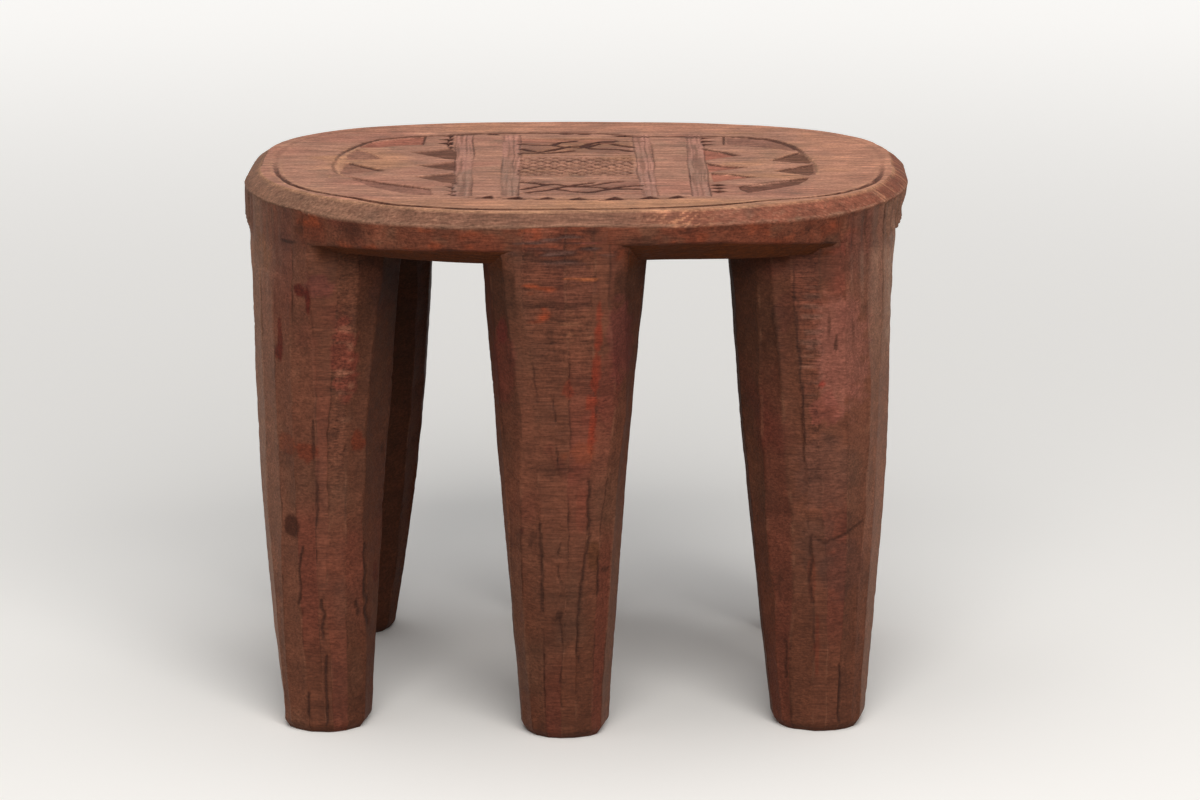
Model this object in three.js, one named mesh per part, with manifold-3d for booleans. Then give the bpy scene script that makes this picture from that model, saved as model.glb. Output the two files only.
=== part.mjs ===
// Low oval stool carved from one block of wood: an incised seat on six tapering, adze-faceted legs.
// Lengths are in millimetres: X runs along the stool, Y from its front to its back and Z up from the floor.
// The legs meet the seat face to face on the level plane of the seat's underside.

import * as THREE from "three";
import { mergeVertices } from "three/addons/utils/BufferGeometryUtils.js";
import Module from "manifold-3d";

const wasm = await Module();
wasm.setup();

// Seat
const seatWidth = 380;
const seatDepth = 300;
const stoolHeight = 304;
const seatThickness = 31;
const bevelWidth = 8.5;
const bevelDrop = 8;
const bandHeight = 11;
const bandDraft = 1;
const undersideInset = 16;

// How square each corner of the outline is: 2 is an ellipse, and a larger number is squarer
const squareness = { frontLeft: 2.3, frontRight: 2.5, backRight: 2.8, backLeft: 2.85 };
const outlineSteps = 96;

// Leg sections
const footHalfWidth = 24.5;
const footHalfDepth = 25;
const topHalfWidth = 47.5;
const topHalfDepth = 40;
const footChamfer = 4;
const footChamferHeight = 5;
const sectionSquareness = 2.15;
const levelShares = [0.14, 0.32, 0.52, 0.76];

// Incised lines and fields of the top
const lineWidth = 1.6;
const lineDepth = 1;
const fieldDepth = 1.4;
const rimEndInset = 16;
const rimSideInset = 11.5;
const ovalEndInset = 53;
const ovalSideInset = 43.5;
const ovalShift = -3.5;
const ovalSquareness = 2.9;
const ovalSteps = 72;

// Four bands of three lines each, which cross the oval and lean a little
const bandPitch = 4.2;
const outerBandBackShare = 0.496;
const outerBandFrontShare = 0.474;
const innerBandBackShare = 0.278;
const innerBandFrontShare = 0.27;
const bandLines = 3;

// Middle panel: its bars, its lattice of lozenges and its zigzags
const panelWidthShare = 0.226;
const latticeBackShare = 0.188;
const latticeFrontShare = -0.366;
const latticeColumns = 7;
const latticeRows = 7;
const lozengeFillShare = 0.66;
const barShare = 0.094;
const zigzagShare = 0.319;
const zigzagGapShare = 0.028;
const zigzagSteps = 5;
const zigzagWidth = 2.4;

// Row of small triangular chips along the oval's front
const chipCount = 7;
const chipPitchShare = 0.128;
const chipWidth = 9;
const chipHeight = 6;

// Fields beside the outer bands, as shares of the oval's half width and half depth from its middle
const triangleShares = [
  [[-0.53, 0.46], [-0.52, 0.15], [-0.7, 0.33]],
  [[-0.515, 0.07], [-0.5, -0.2], [-0.66, -0.05]],
  [[-0.505, -0.25], [-0.49, -0.55], [-0.65, -0.38]],
  [[-0.93, 0.43], [-0.955, 0.12], [-0.84, 0.14]],
  [[-0.955, 0.04], [-0.94, -0.26], [-0.8, -0.18]],
  [[0.55, 0.46], [0.555, 0.08], [0.68, 0.26]],
  [[0.555, 0.04], [0.56, -0.24], [0.7, -0.08]],
  [[0.565, -0.29], [0.57, -0.54], [0.73, -0.38]],
  [[0.94, 0.35], [0.96, 0.01], [0.83, 0.12]],
  [[0.96, -0.05], [0.94, -0.33], [0.84, -0.2]],
];
const lensInnerWidthShare = 0.657;
const lensInnerDepthShare = 0.62;
const lensOuterDepthShare = 0.47;
const lensMargin = 3;
const lensSteps = 8;

// Extra length of a cutter past the surface that it cuts
const overrun = 2;

// Each leg: where the middles of its top and foot stand, as shares of the seat's half width and half depth;
// their size against the common one; how much further than evenly it has widened halfway up, and how far it
// bows to the right there, as a share of the common top; and where its facets meet, as shares of a turn from
// the right
const legs = [
  {
    name: "leg_front_left", bulgeShare: 0.1, bowShare: -0.074,
    top: { xShare: -0.771, yShare: -0.44, widthShare: 1.06, depthShare: 0.93 },
    foot: { xShare: -0.735, yShare: -0.66, widthShare: 1, depthShare: 1 },
    cornerTurnShares: [0.022, 0.11, 0.2, 0.29, 0.375, 0.45, 0.51, 0.605, 0.715, 0.758, 0.806, 0.872, 0.935],
  },
  {
    name: "leg_front_middle", bulgeShare: -0.025, bowShare: -0.017,
    top: { xShare: -0.024, yShare: -0.767, widthShare: 0.92, depthShare: 1.02 },
    foot: { xShare: -0.029, yShare: -0.727, widthShare: 0.97, depthShare: 1 },
    cornerTurnShares: [0.01, 0.085, 0.17, 0.265, 0.355, 0.44, 0.512, 0.585, 0.655, 0.845, 0.925],
  },
  {
    name: "leg_front_right", bulgeShare: 0.145, bowShare: 0.046,
    top: { xShare: 0.721, yShare: -0.467, widthShare: 1.06, depthShare: 0.98 },
    foot: { xShare: 0.73, yShare: -0.627, widthShare: 1.02, depthShare: 1 },
    cornerTurnShares: [0.03, 0.13, 0.23, 0.33, 0.41, 0.49, 0.565, 0.64, 0.715, 0.772, 0.825, 0.89, 0.955],
  },
  {
    name: "leg_back_left", bulgeShare: 0.095, bowShare: 0.046,
    top: { xShare: -0.708, yShare: 0.5, widthShare: 1, depthShare: 1 },
    foot: { xShare: -0.729, yShare: 0.613, widthShare: 1, depthShare: 1 },
    cornerTurnShares: [0.04, 0.12, 0.19, 0.27, 0.34, 0.42, 0.5, 0.58, 0.66, 0.745, 0.83, 0.9, 0.965],
  },
  {
    name: "leg_back_middle", bulgeShare: 0.03, bowShare: 0.017,
    top: { xShare: -0.014, yShare: 0.747, widthShare: 0.99, depthShare: 1 },
    foot: { xShare: -0.04, yShare: 0.7, widthShare: 0.94, depthShare: 1 },
    cornerTurnShares: [0.07, 0.155, 0.345, 0.42, 0.49, 0.57, 0.66, 0.75, 0.84, 0.915, 0.99],
  },
  {
    name: "leg_back_right", bulgeShare: 0.075, bowShare: -0.053,
    top: { xShare: 0.715, yShare: 0.5, widthShare: 0.93, depthShare: 1 },
    foot: { xShare: 0.719, yShare: 0.613, widthShare: 1.07, depthShare: 1 },
    cornerTurnShares: [0.05, 0.115, 0.18, 0.24, 0.31, 0.39, 0.47, 0.555, 0.64, 0.72, 0.8, 0.88, 0.97],
  },
];

// Finishes
const seatFinish = { color: 0x8a5446, roughness: 0.72, metalness: 0, flatShading: true };
const legFinish = { color: 0x6b3a30, roughness: 0.68, metalness: 0, flatShading: true };

// Levels worked out from the sizes
const fullTurn = 2 * Math.PI;
const legHeight = stoolHeight - seatThickness;
const bandTop = stoolHeight - bevelDrop;
const bandBottom = bandTop - bandHeight;

// Oval worked out from the seat
const ovalHalfWidth = seatWidth / 2 - ovalEndInset;
const ovalHalfDepth = seatDepth / 2 - ovalSideInset;

// Bands, panel, chips and corner fields worked out from the oval
const outerBandBackX = outerBandBackShare * ovalHalfWidth;
const outerBandFrontX = outerBandFrontShare * ovalHalfWidth;
const innerBandBackX = innerBandBackShare * ovalHalfWidth;
const innerBandFrontX = innerBandFrontShare * ovalHalfWidth;
const panelHalfWidth = panelWidthShare * ovalHalfWidth;
const latticeBack = latticeBackShare * ovalHalfDepth;
const latticeFront = latticeFrontShare * ovalHalfDepth;
const barHeight = barShare * ovalHalfDepth;
const zigzagHeight = zigzagShare * ovalHalfDepth;
const zigzagGap = zigzagGapShare * ovalHalfDepth;
const chipPitch = chipPitchShare * ovalHalfWidth;
const lensInnerX = lensInnerWidthShare * ovalHalfWidth;
const lensInnerY = lensInnerDepthShare * ovalHalfDepth;
const lensOuterY = lensOuterDepthShare * ovalHalfDepth;

// Distance along one axis of a rounded rectangle of the given half size
function squared(half, direction, exponent) {
  return half * Math.sign(direction) * Math.abs(direction) ** (2 / exponent);
}

function squarenessAt(x, y) {
  return squareness[(y < 0 ? "front" : "back") + (x < 0 ? "Left" : "Right")];
}

// The seat's outline, drawn in by one distance at its ends and another at its front and back
function outline(endInset, sideInset) {
  const points = [];
  for (let step = 0; step < outlineSteps; step += 1) {
    const cosine = Math.cos((fullTurn * step) / outlineSteps);
    const sine = Math.sin((fullTurn * step) / outlineSteps);
    const exponent = squarenessAt(cosine, sine);
    const x = squared(seatWidth / 2 - endInset, cosine, exponent);
    const y = squared(seatDepth / 2 - sideInset, sine, exponent);
    points.push(new THREE.Vector2(x, y));
  }
  return points;
}

// A point outside the seat's wall is drawn in to it, towards the stool's middle
function insideWall(point) {
  const exponent = squarenessAt(point.x, point.y);
  const across = Math.abs(point.x) / (seatWidth / 2 - bandDraft);
  const along = Math.abs(point.y) / (seatDepth / 2 - bandDraft);
  const reach = (across ** exponent + along ** exponent) ** (1 / exponent);
  return point.divideScalar(Math.max(reach, 1));
}

// The oval line round the carved fields
function oval(margin) {
  const points = [];
  for (let step = 0; step < ovalSteps; step += 1) {
    const angle = (fullTurn * step) / ovalSteps;
    const x = squared(ovalHalfWidth - margin, Math.cos(angle), ovalSquareness);
    const y = squared(ovalHalfDepth - margin, Math.sin(angle), ovalSquareness);
    points.push(new THREE.Vector2(x, ovalShift + y));
  }
  return points;
}

// How far the oval reaches from its long axis at a place along it
function ovalReach(x, margin) {
  const share = Math.abs(x) / (ovalHalfWidth - margin);
  return (ovalHalfDepth - margin) * (1 - share ** ovalSquareness) ** (1 / ovalSquareness);
}

// The corners of one level section of a leg, at the place that its table gives
function section(leg, place, halfWidth, halfDepth) {
  const middleX = (place.xShare * seatWidth) / 2;
  const middleY = (place.yShare * seatDepth) / 2;
  return leg.cornerTurnShares.map((turn) => {
    const x = squared(halfWidth * place.widthShare, Math.cos(fullTurn * turn), sectionSquareness);
    const y = squared(halfDepth * place.depthShare, Math.sin(fullTurn * turn), sectionSquareness);
    return new THREE.Vector2(middleX + x, middleY + y);
  });
}

function footSection(leg, inset) {
  return section(leg, leg.foot, footHalfWidth - inset, footHalfDepth - inset);
}

function topSection(leg) {
  return section(leg, leg.top, topHalfWidth, topHalfDepth);
}

// A leg widens from its foot at share 0 to the seat's underside at share 1, where it stays inside the wall
function legSection(leg, share) {
  const halfway = 4 * share * (1 - share);
  const widened = share + leg.bulgeShare * halfway;
  const sideways = new THREE.Vector2(leg.bowShare * topHalfWidth * halfway, 0);
  const top = topSection(leg).map(insideWall);
  return footSection(leg, 0).map((point, corner) => point.lerp(top[corner], widened).add(sideways));
}

// Closed body through a stack of level sections with equally many points, from the lowest to the highest
function loft(levels) {
  const count = levels[0].points.length;
  const positions = [];
  const triangles = [];
  for (const level of levels) {
    for (const point of level.points) {
      positions.push(point.x, point.y, level.z);
    }
  }
  for (let row = 0; row + 1 < levels.length; row += 1) {
    for (let column = 0; column < count; column += 1) {
      const next = (column + 1) % count;
      const low = row * count;
      const high = low + count;
      triangles.push(low + column, low + next, high + next);
      triangles.push(low + column, high + next, high + column);
    }
  }
  const last = levels.length - 1;
  for (const [u, v, w] of THREE.ShapeUtils.triangulateShape(levels[0].points, [])) {
    triangles.push(u, w, v);
  }
  for (const [u, v, w] of THREE.ShapeUtils.triangulateShape(levels[last].points, [])) {
    triangles.push(last * count + u, last * count + v, last * count + w);
  }
  const geometry = new THREE.BufferGeometry();
  geometry.setAttribute("position", new THREE.Float32BufferAttribute(positions, 3));
  geometry.setIndex(triangles);
  return toSolid(geometry);
}

function toSolid(geometry) {
  geometry.deleteAttribute("normal");
  geometry.deleteAttribute("uv");
  const merged = mergeVertices(geometry);
  return new wasm.Manifold(new wasm.Mesh({
    numProp: 3,
    vertProperties: new Float32Array(merged.attributes.position.array),
    triVerts: new Uint32Array(merged.index.array),
  }));
}

function toMesh(solid, name, finish) {
  const { vertProperties, triVerts } = solid.getMesh();
  const geometry = new THREE.BufferGeometry();
  geometry.setAttribute("position", new THREE.BufferAttribute(vertProperties, 3));
  geometry.setIndex(new THREE.BufferAttribute(triVerts, 1));
  geometry.computeVertexNormals();
  const mesh = new THREE.Mesh(geometry, new THREE.MeshStandardMaterial(finish));
  mesh.name = name;
  return mesh;
}

// Cutter that sinks a closed outline into the top, with an inner outline where it is a ring
function sunk(points, depth, inner) {
  const shape = new THREE.Shape(points);
  if (inner) {
    shape.holes.push(new THREE.Path(inner));
  }
  const geometry = new THREE.ExtrudeGeometry(shape, { depth: depth + overrun, bevelEnabled: false });
  geometry.translate(0, 0, stoolHeight - depth);
  return toSolid(geometry);
}

// The block above the legs, before its underside is cut
function seatBlock() {
  return loft([
    { z: legHeight, points: outline(bandDraft, bandDraft) },
    { z: bandBottom, points: outline(bandDraft, bandDraft) },
    { z: bandTop, points: outline(0, 0) },
    { z: stoolHeight, points: outline(bevelWidth, bevelWidth) },
  ]);
}

// What is cut away between the legs: all below a slope from the band's lower edge in to the flat underside
function undersideCut() {
  const rise = bandBottom - legHeight;
  const slope = (z) => {
    const inset = bandDraft + (undersideInset * (bandBottom - z)) / rise;
    return { z, points: outline(inset, inset) };
  };
  const outside = outline(-undersideInset, -undersideInset);
  const slab = loft([
    { z: legHeight - overrun, points: outside },
    { z: bandBottom + overrun, points: outside },
  ]);
  return slab.subtract(loft([slope(legHeight - 2 * overrun), slope(bandBottom + 2 * overrun)]));
}

// Where a leg runs up into the seat, flush with the band
function legRoot(leg) {
  return loft([
    { z: legHeight - 2 * overrun, points: topSection(leg) },
    { z: bandTop, points: topSection(leg) },
  ]);
}

function legSolid(leg) {
  const levels = [{ z: 0, points: footSection(leg, footChamfer) }];
  for (const share of [footChamferHeight / legHeight, ...levelShares, 1]) {
    levels.push({ z: share * legHeight, points: legSection(leg, share) });
  }
  return loft(levels);
}

// The rim line and the oval line
function ringCuts() {
  const rim = sunk(
    outline(rimEndInset, rimSideInset),
    lineDepth,
    outline(rimEndInset + lineWidth, rimSideInset + lineWidth),
  );
  return [rim, sunk(oval(0), lineDepth, oval(lineWidth))];
}

// One band's lines, from the oval's back to its front
function bandCuts(side, backX, frontX) {
  const cuts = [];
  for (let line = 0; line < bandLines; line += 1) {
    const shift = (line - (bandLines - 1) / 2) * bandPitch;
    const back = side * (backX + shift);
    const front = side * (frontX + shift);
    const backY = ovalShift + ovalReach(back, lineWidth);
    const frontY = ovalShift - ovalReach(front, lineWidth);
    const half = lineWidth / 2;
    cuts.push(sunk([
      new THREE.Vector2(back - half, backY),
      new THREE.Vector2(front - half, frontY),
      new THREE.Vector2(front + half, frontY),
      new THREE.Vector2(back + half, backY),
    ], lineDepth));
  }
  return cuts;
}

function triangleCuts() {
  return triangleShares.map((corners) => sunk(
    corners.map(([x, y]) => new THREE.Vector2(x * ovalHalfWidth, ovalShift + y * ovalHalfDepth)),
    fieldDepth,
  ));
}

// Field in one corner of the oval, between a chord and the oval line
function lensCut(side, end) {
  const margin = lineWidth + lensMargin;
  const outerShare = lensOuterY / (ovalHalfDepth - margin);
  const outerX = (ovalHalfWidth - margin) * (1 - outerShare ** ovalSquareness) ** (1 / ovalSquareness);
  const points = [new THREE.Vector2(side * lensInnerX, ovalShift + end * lensInnerY)];
  for (let step = 0; step <= lensSteps; step += 1) {
    const x = THREE.MathUtils.lerp(lensInnerX, outerX, Math.sin((fullTurn / 4) * (step / lensSteps)));
    points.push(new THREE.Vector2(side * x, ovalShift + end * ovalReach(x, margin)));
  }
  return sunk(points, fieldDepth);
}

// Lozenges of the middle panel, each a little smaller than its cell
function latticeCuts() {
  const cuts = [];
  const cellWidth = (2 * panelHalfWidth) / latticeColumns;
  const cellHeight = (latticeBack - latticeFront) / latticeRows;
  for (let row = 0; row < latticeRows; row += 1) {
    for (let column = 0; column < latticeColumns; column += 1) {
      const x = -panelHalfWidth + (column + 1 / 2) * cellWidth;
      const y = latticeFront + (row + 1 / 2) * cellHeight;
      const halfWidth = (lozengeFillShare * cellWidth) / 2;
      const halfHeight = (lozengeFillShare * cellHeight) / 2;
      cuts.push(sunk([
        new THREE.Vector2(x + halfWidth, y),
        new THREE.Vector2(x, y + halfHeight),
        new THREE.Vector2(x - halfWidth, y),
        new THREE.Vector2(x, y - halfHeight),
      ], lineDepth));
    }
  }
  return cuts;
}

// A line that rises and falls across the middle panel
function zigzagCut(low, high, startsHigh) {
  const upper = [];
  const lower = [];
  for (let step = 0; step <= zigzagSteps; step += 1) {
    const x = THREE.MathUtils.lerp(-panelHalfWidth, panelHalfWidth, step / zigzagSteps);
    const y = (step % 2 === 0) === startsHigh ? high : low;
    upper.push(new THREE.Vector2(x, y + zigzagWidth / 2));
    lower.unshift(new THREE.Vector2(x, y - zigzagWidth / 2));
  }
  return sunk([...upper, ...lower], fieldDepth);
}

function zigzagCuts() {
  const backLow = latticeBack + barHeight + zigzagGap;
  const frontHigh = latticeFront - barHeight - zigzagGap;
  return [
    zigzagCut(backLow, backLow + zigzagHeight, true),
    zigzagCut(backLow, backLow + zigzagHeight, false),
    zigzagCut(frontHigh - zigzagHeight, frontHigh, true),
    zigzagCut(frontHigh - zigzagHeight, frontHigh, false),
  ];
}

// Small chips that stand on the oval line along its front
function chipCuts() {
  const cuts = [];
  for (let chip = 0; chip < chipCount; chip += 1) {
    const x = (chip - (chipCount - 1) / 2) * chipPitch;
    const y = ovalShift - ovalReach(x, 2 * lineWidth);
    cuts.push(sunk([
      new THREE.Vector2(x - chipWidth / 2, y),
      new THREE.Vector2(x + chipWidth / 2, y),
      new THREE.Vector2(x, y + chipHeight),
    ], fieldDepth));
  }
  return cuts;
}

function carving() {
  const cuts = [
    ...ringCuts(),
    ...triangleCuts(),
    ...latticeCuts(),
    ...zigzagCuts(),
    ...chipCuts(),
  ];
  for (const side of [-1, 1]) {
    cuts.push(...bandCuts(side, outerBandBackX, outerBandFrontX));
    cuts.push(...bandCuts(side, innerBandBackX, innerBandFrontX));
    cuts.push(lensCut(side, -1), lensCut(side, 1));
  }
  return cuts.reduce((joined, cut) => joined.add(cut));
}

function seatSolid() {
  let cut = undersideCut();
  for (const leg of legs) {
    cut = cut.subtract(legRoot(leg));
  }
  return seatBlock().subtract(cut).subtract(carving());
}

const stool = new THREE.Group();
stool.add(toMesh(seatSolid(), "seat", seatFinish));
for (const leg of legs) {
  stool.add(toMesh(legSolid(leg), leg.name, legFinish));
}

export default stool;
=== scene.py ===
import math

import bpy
import numpy as np
from mathutils import Matrix


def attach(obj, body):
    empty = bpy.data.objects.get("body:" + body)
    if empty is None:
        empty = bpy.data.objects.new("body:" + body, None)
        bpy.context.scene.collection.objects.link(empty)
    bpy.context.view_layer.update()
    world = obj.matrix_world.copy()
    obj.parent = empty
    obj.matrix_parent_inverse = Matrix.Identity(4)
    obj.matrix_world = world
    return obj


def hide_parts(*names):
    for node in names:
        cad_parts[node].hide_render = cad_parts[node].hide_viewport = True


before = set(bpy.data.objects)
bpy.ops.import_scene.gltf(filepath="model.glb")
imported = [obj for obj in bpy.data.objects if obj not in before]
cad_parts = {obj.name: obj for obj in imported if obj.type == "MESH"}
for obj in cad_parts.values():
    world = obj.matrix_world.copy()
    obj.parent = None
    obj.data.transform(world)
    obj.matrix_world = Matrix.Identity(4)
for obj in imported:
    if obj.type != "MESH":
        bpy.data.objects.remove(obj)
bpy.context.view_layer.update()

# Lengths are in millimetres until a mesh is made: X along the stool, Y to its back, Z up.
MM = 0.001
HALF_WIDTH, HALF_DEPTH, HEIGHT = 190.0, 150.0, 304.0
UNDERSIDE = 273.0  # the plane on which the legs meet the seat
BELLY = 273.2  # the visible underside, just above that plane
EDGE_Z = 295.6  # the bevel's lower edge, on average
NO_CEILING = 400.0  # stands for "no underside above this place"

# ---- noise


def hashed(ix, iy, iz, seed):
    """A fixed number from 0 to 1 for each place with whole coordinates."""
    h = (ix.astype(np.int64) * 73856093) ^ (iy.astype(np.int64) * 19349663) ^ (iz.astype(np.int64) * 83492791)
    h = (h ^ (seed * 2654435)) & 0xFFFFFFFF
    h = ((h ^ (h >> 15)) * 0x2C1B3C6D) & 0xFFFFFFFF
    h = ((h ^ (h >> 12)) * 0x297A2D39) & 0xFFFFFFFF
    return ((h ^ (h >> 15)) & 0xFFFFFF) / float(0xFFFFFF)


def noise(x, y, z, seed):
    """Smooth value noise from -1 to 1, with a period of one cell per unit."""
    x, y, z = np.broadcast_arrays(np.asarray(x, float), np.asarray(y, float), np.asarray(z, float))
    fx, fy, fz = np.floor(x), np.floor(y), np.floor(z)
    tx, ty, tz = x - fx, y - fy, z - fz
    tx, ty, tz = (t * t * (3 - 2 * t) for t in (tx, ty, tz))
    total = 0.0
    for dx in (0, 1):
        for dy in (0, 1):
            for dz in (0, 1):
                w = (tx if dx else 1 - tx) * (ty if dy else 1 - ty) * (tz if dz else 1 - tz)
                total = total + w * hashed(fx + dx, fy + dy, fz + dz, seed)
    return total * 2 - 1


def fbm(x, y, z, seed, octaves=3):
    """Noise in several octaves, each half as strong as the one before."""
    total, size, reach = 0.0, 1.0, 0.0
    for k in range(octaves):
        total = total + size * noise(x * 2**k, y * 2**k, z * 2**k, seed + k * 17)
        reach += size
        size *= 0.5
    return total / reach


def ridged(s, seed, length):
    """A broken line: straight between knots that lie about one length apart, from -1 to 1."""
    u = np.asarray(s, float) / length
    k = np.floor(u)
    zero = np.zeros_like(k)

    def knot(n):
        """Where a knot lies, and its value."""
        return n + 0.6 * (hashed(n, zero, zero, seed + 5) - 0.5), hashed(n, zero, zero, seed)

    (m, vm), (a, v0), (b, v1), (c, v2) = (knot(k + step) for step in (-1, 0, 1, 2))
    inside = v0 + (v1 - v0) * (u - a) / (b - a)
    before = vm + (v0 - vm) * (u - m) / (a - m)
    after = v1 + (v2 - v1) * (u - b) / (c - b)
    value = np.where(u < a, before, np.where(u > b, after, inside))
    return value * 2 - 1


def smooth(t, low=0.0, high=1.0):
    """0 below the low end, 1 above the high one, and an even curve between them."""
    t = np.clip((np.asarray(t, float) - low) / (high - low), 0, 1)
    return t * t * (3 - 2 * t)


# ---- colours


def rgb(r, g, b):
    """A colour named in 0 to 255, as Blender counts it."""
    c = np.array([r, g, b], float) / 255
    return np.where(c <= 0.04045, c / 12.92, ((c + 0.055) / 1.055) ** 2.4)


def blend(base, target, weight):
    """One colour laid over another, by a weight from 0 to 1."""
    weight = np.clip(weight, 0, 1)[..., None]
    return base * (1 - weight) + target * weight


# ---- the seat's outline

HALF_DEGREES = np.linspace(-180, 180, 721)


def round_table(steps, nodes):
    """A function of the angle through a table's nodes, whose corners are rounded off over some half degrees."""
    values = np.interp(HALF_DEGREES, [d for d, _ in nodes], [v for _, v in nodes])
    kernel = np.exp(-0.5 * (np.arange(-3 * steps, 3 * steps + 1) / steps) ** 2)
    values = np.r_[values[-1 - 3 * steps:-1], values, values[1:3 * steps + 1]]
    values = np.convolve(values, kernel / kernel.sum(), "valid")
    return lambda angle: np.interp(angle, HALF_DEGREES, values)


# Squareness of the outline's four corners, by the signs of x and y
SQUARENESS = {(-1, -1): 2.3, (1, -1): 2.5, (1, 1): 2.8, (-1, 1): 2.85}

# Degrees round the seat, and the share by which the hand-cut outline runs outside or inside the even one
uneven_share = round_table(7, [
    (-180, 1.003), (-165, 0.998), (-150, 0.998), (-140, 0.987), (-130, 1.0), (-120, 1.01), (-110, 1.021),
    (-100, 1.01), (-90, 0.994), (-80, 0.994), (-70, 0.999), (-60, 0.985), (-50, 0.996), (-40, 1.005),
    (-30, 0.999), (-15, 0.998), (0, 1.002), (15, 1.008), (30, 1.01), (45, 1.0), (60, 0.987), (75, 0.986),
    (90, 0.991), (105, 0.991), (120, 0.992), (135, 1.011), (150, 1.018), (165, 1.012), (180, 1.003),
])
# Degrees, and the height of the bevel's lower edge
even_edge_height = round_table(6, [
    (-180, 296.4), (-150, 296.3), (-130, 295.7), (-110, 295.5), (-90, 297.1), (-70, 296.5), (-50, 295.9),
    (-30, 297.2), (0, 296.5), (60, 296), (120, 296), (180, 296.4),
])
# Degrees, and the bevel's width
bevel_width = round_table(8, [
    (-180, 8.7), (-150, 9.0), (-130, 8.0), (-110, 5.4), (-90, 5.7), (-70, 7.4), (-50, 8.5), (-30, 7.9),
    (0, 8.7), (60, 8.5), (120, 8.5), (180, 8.7),
])
# Degrees, and how far inside the outline the rim groove's inner edge runs
groove_inset = round_table(3, [
    (-180, 18.5), (-172, 19.2), (-167, 19), (-161, 18.8), (-156, 17.8), (-150, 17), (-145, 15.8), (-136, 15.7),
    (-132, 17.1), (-128, 15.8), (-124, 12.8), (-117, 12.9), (-109, 12.6), (-102, 13.5), (-92, 13.9),
    (-81, 14), (-77, 15), (-70, 16.4), (-62, 16.9), (-54, 20.3), (-50, 20), (-46, 18.4), (-42, 15.8),
    (-34, 14.4), (-26, 13.8), (-15, 15), (-9, 15.5), (60, 15.5), (120, 15.5), (180, 18.5),
])
# Degrees, and the height of the band's lower edge
even_band_low = round_table(3, [
    (-180, 277), (-165, 275), (-150, 274.7), (-142, 275.4), (-138, 277.2), (-132, 279), (-126, 280.1),
    (-121, 281.2), (-113, 282.5), (-105, 283.2), (-98, 282.6), (-90, 284), (-82, 286.3), (-72, 286.8),
    (-66, 286.8), (-58, 284.7), (-50, 282.6), (-42, 279.2), (-35, 277.5), (-20, 276), (0, 280), (25, 277),
    (45, 279), (60, 282), (90, 284), (120, 282), (135, 279), (155, 276), (180, 277),
])
# Degrees, and how far it is from there to the underside's belly
slope_width = round_table(5, [
    (-180, 10), (-142, 6), (-130, 9), (-120, 11), (-110, 11), (-100, 10), (-90, 12), (-80, 18), (-75, 20),
    (-70, 19), (-64, 15.5), (-60, 11), (-50, 8), (-42, 5), (-20, 6), (0, 12), (30, 8), (60, 12), (90, 17),
    (120, 12), (150, 8), (180, 10),
])


def round_angle(x, y):
    """Degrees round the seat, from its right end over its back."""
    return np.degrees(np.arctan2(y / HALF_DEPTH, x / HALF_WIDTH))


def unevenness(x, y):
    """How far the hand-cut outline runs outside or inside the even one at a place."""
    return uneven_share(round_angle(x, y))


def exponent_at(x, y):
    """Squareness of the outline's corner in which a place lies."""
    n = np.empty(np.broadcast(x, y).shape)
    for (sx, sy), value in SQUARENESS.items():
        n[(np.where(x < 0, -1, 1) == sx) & (np.where(y < 0, -1, 1) == sy)] = value
    return n


def reach(x, y, inset=0.0):
    """1 on the outline drawn in by the inset, less inside it."""
    n = exponent_at(x, y)
    g = (np.abs(x) / (HALF_WIDTH - inset)) ** n + (np.abs(y) / (HALF_DEPTH - inset)) ** n
    return np.maximum(g, 1e-12) ** (1 / n) / unevenness(x, y)


def inset_at(x, y, deepest=60.0, halvings=13):
    """How far the outline has to be drawn in to run through a place."""
    low, high = np.full(x.shape, -2.0), np.full(x.shape, deepest)
    for _ in range(halvings):
        middle = (low + high) / 2
        outside = reach(x, y, middle) > 1
        high = np.where(outside, middle, high)
        low = np.where(outside, low, middle)
    return middle


def run_round(angle):
    """Roughly the length along the rim that belongs to an angle."""
    return angle * 3.1


def edge_height(angle):
    """Height of the bevel's lower edge round the seat."""
    s = run_round(angle)
    return even_edge_height(angle) + 0.25 * ridged(s, 11, 27) + 0.2 * ridged(s, 12, 9)


def band_low(angle):
    """Height of the band's lower edge round the seat."""
    s = run_round(angle)
    return even_band_low(angle) + 0.3 * ridged(s, 21, 24) + 0.25 * ridged(s, 22, 8)


def wall_draft(angle):
    """How far the wall has drawn in at the underside's level."""
    right = np.exp(-(angle / 24.0) ** 2)
    left = np.exp(-((180 - np.abs(angle)) / 30.0) ** 2)
    return 1.1 + 1.5 * right - 0.85 * left


def flutes(angle):
    """Upright flutes that were cut into the wall below the bevel at both ends."""
    s = angle * 2.5 + 1.5 * noise(angle / 6, 0, 0, 31)
    wave = np.abs(np.sin(math.pi * s / 8.5 + 2 * noise(angle / 9, 1, 0, 32)))
    right = smooth(52 - np.abs(angle + 2), 0, 14)
    left = smooth(38 - (180 - np.abs(angle)), 0, 14)
    return (1 - wave**1.5) * (1.7 * right + 0.8 * left)


def wall_inset(angle, z):
    """How far the side wall lies inside the outline at a height."""
    depth = np.clip((edge_height(angle) - z) / (EDGE_Z - UNDERSIDE), 0, 1)
    fade = smooth((edge_height(angle) - z), 0.2, 2.5) * smooth(z, 268, 281)
    step = 1.7 * np.exp(-(angle / 26.0) ** 2) * smooth(depth, 0.2, 0.55) * (1 - smooth(depth, 0.6, 1.0))
    return wall_draft(angle) * depth**0.85 + step + flutes(angle) * fade


# ---- the legs' sections

SECTION_SQUARENESS = 2.15

# Heights at which the front legs' facet edges are given
EDGE_LEVELS = (30, 77, 123, 191, 253)

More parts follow.
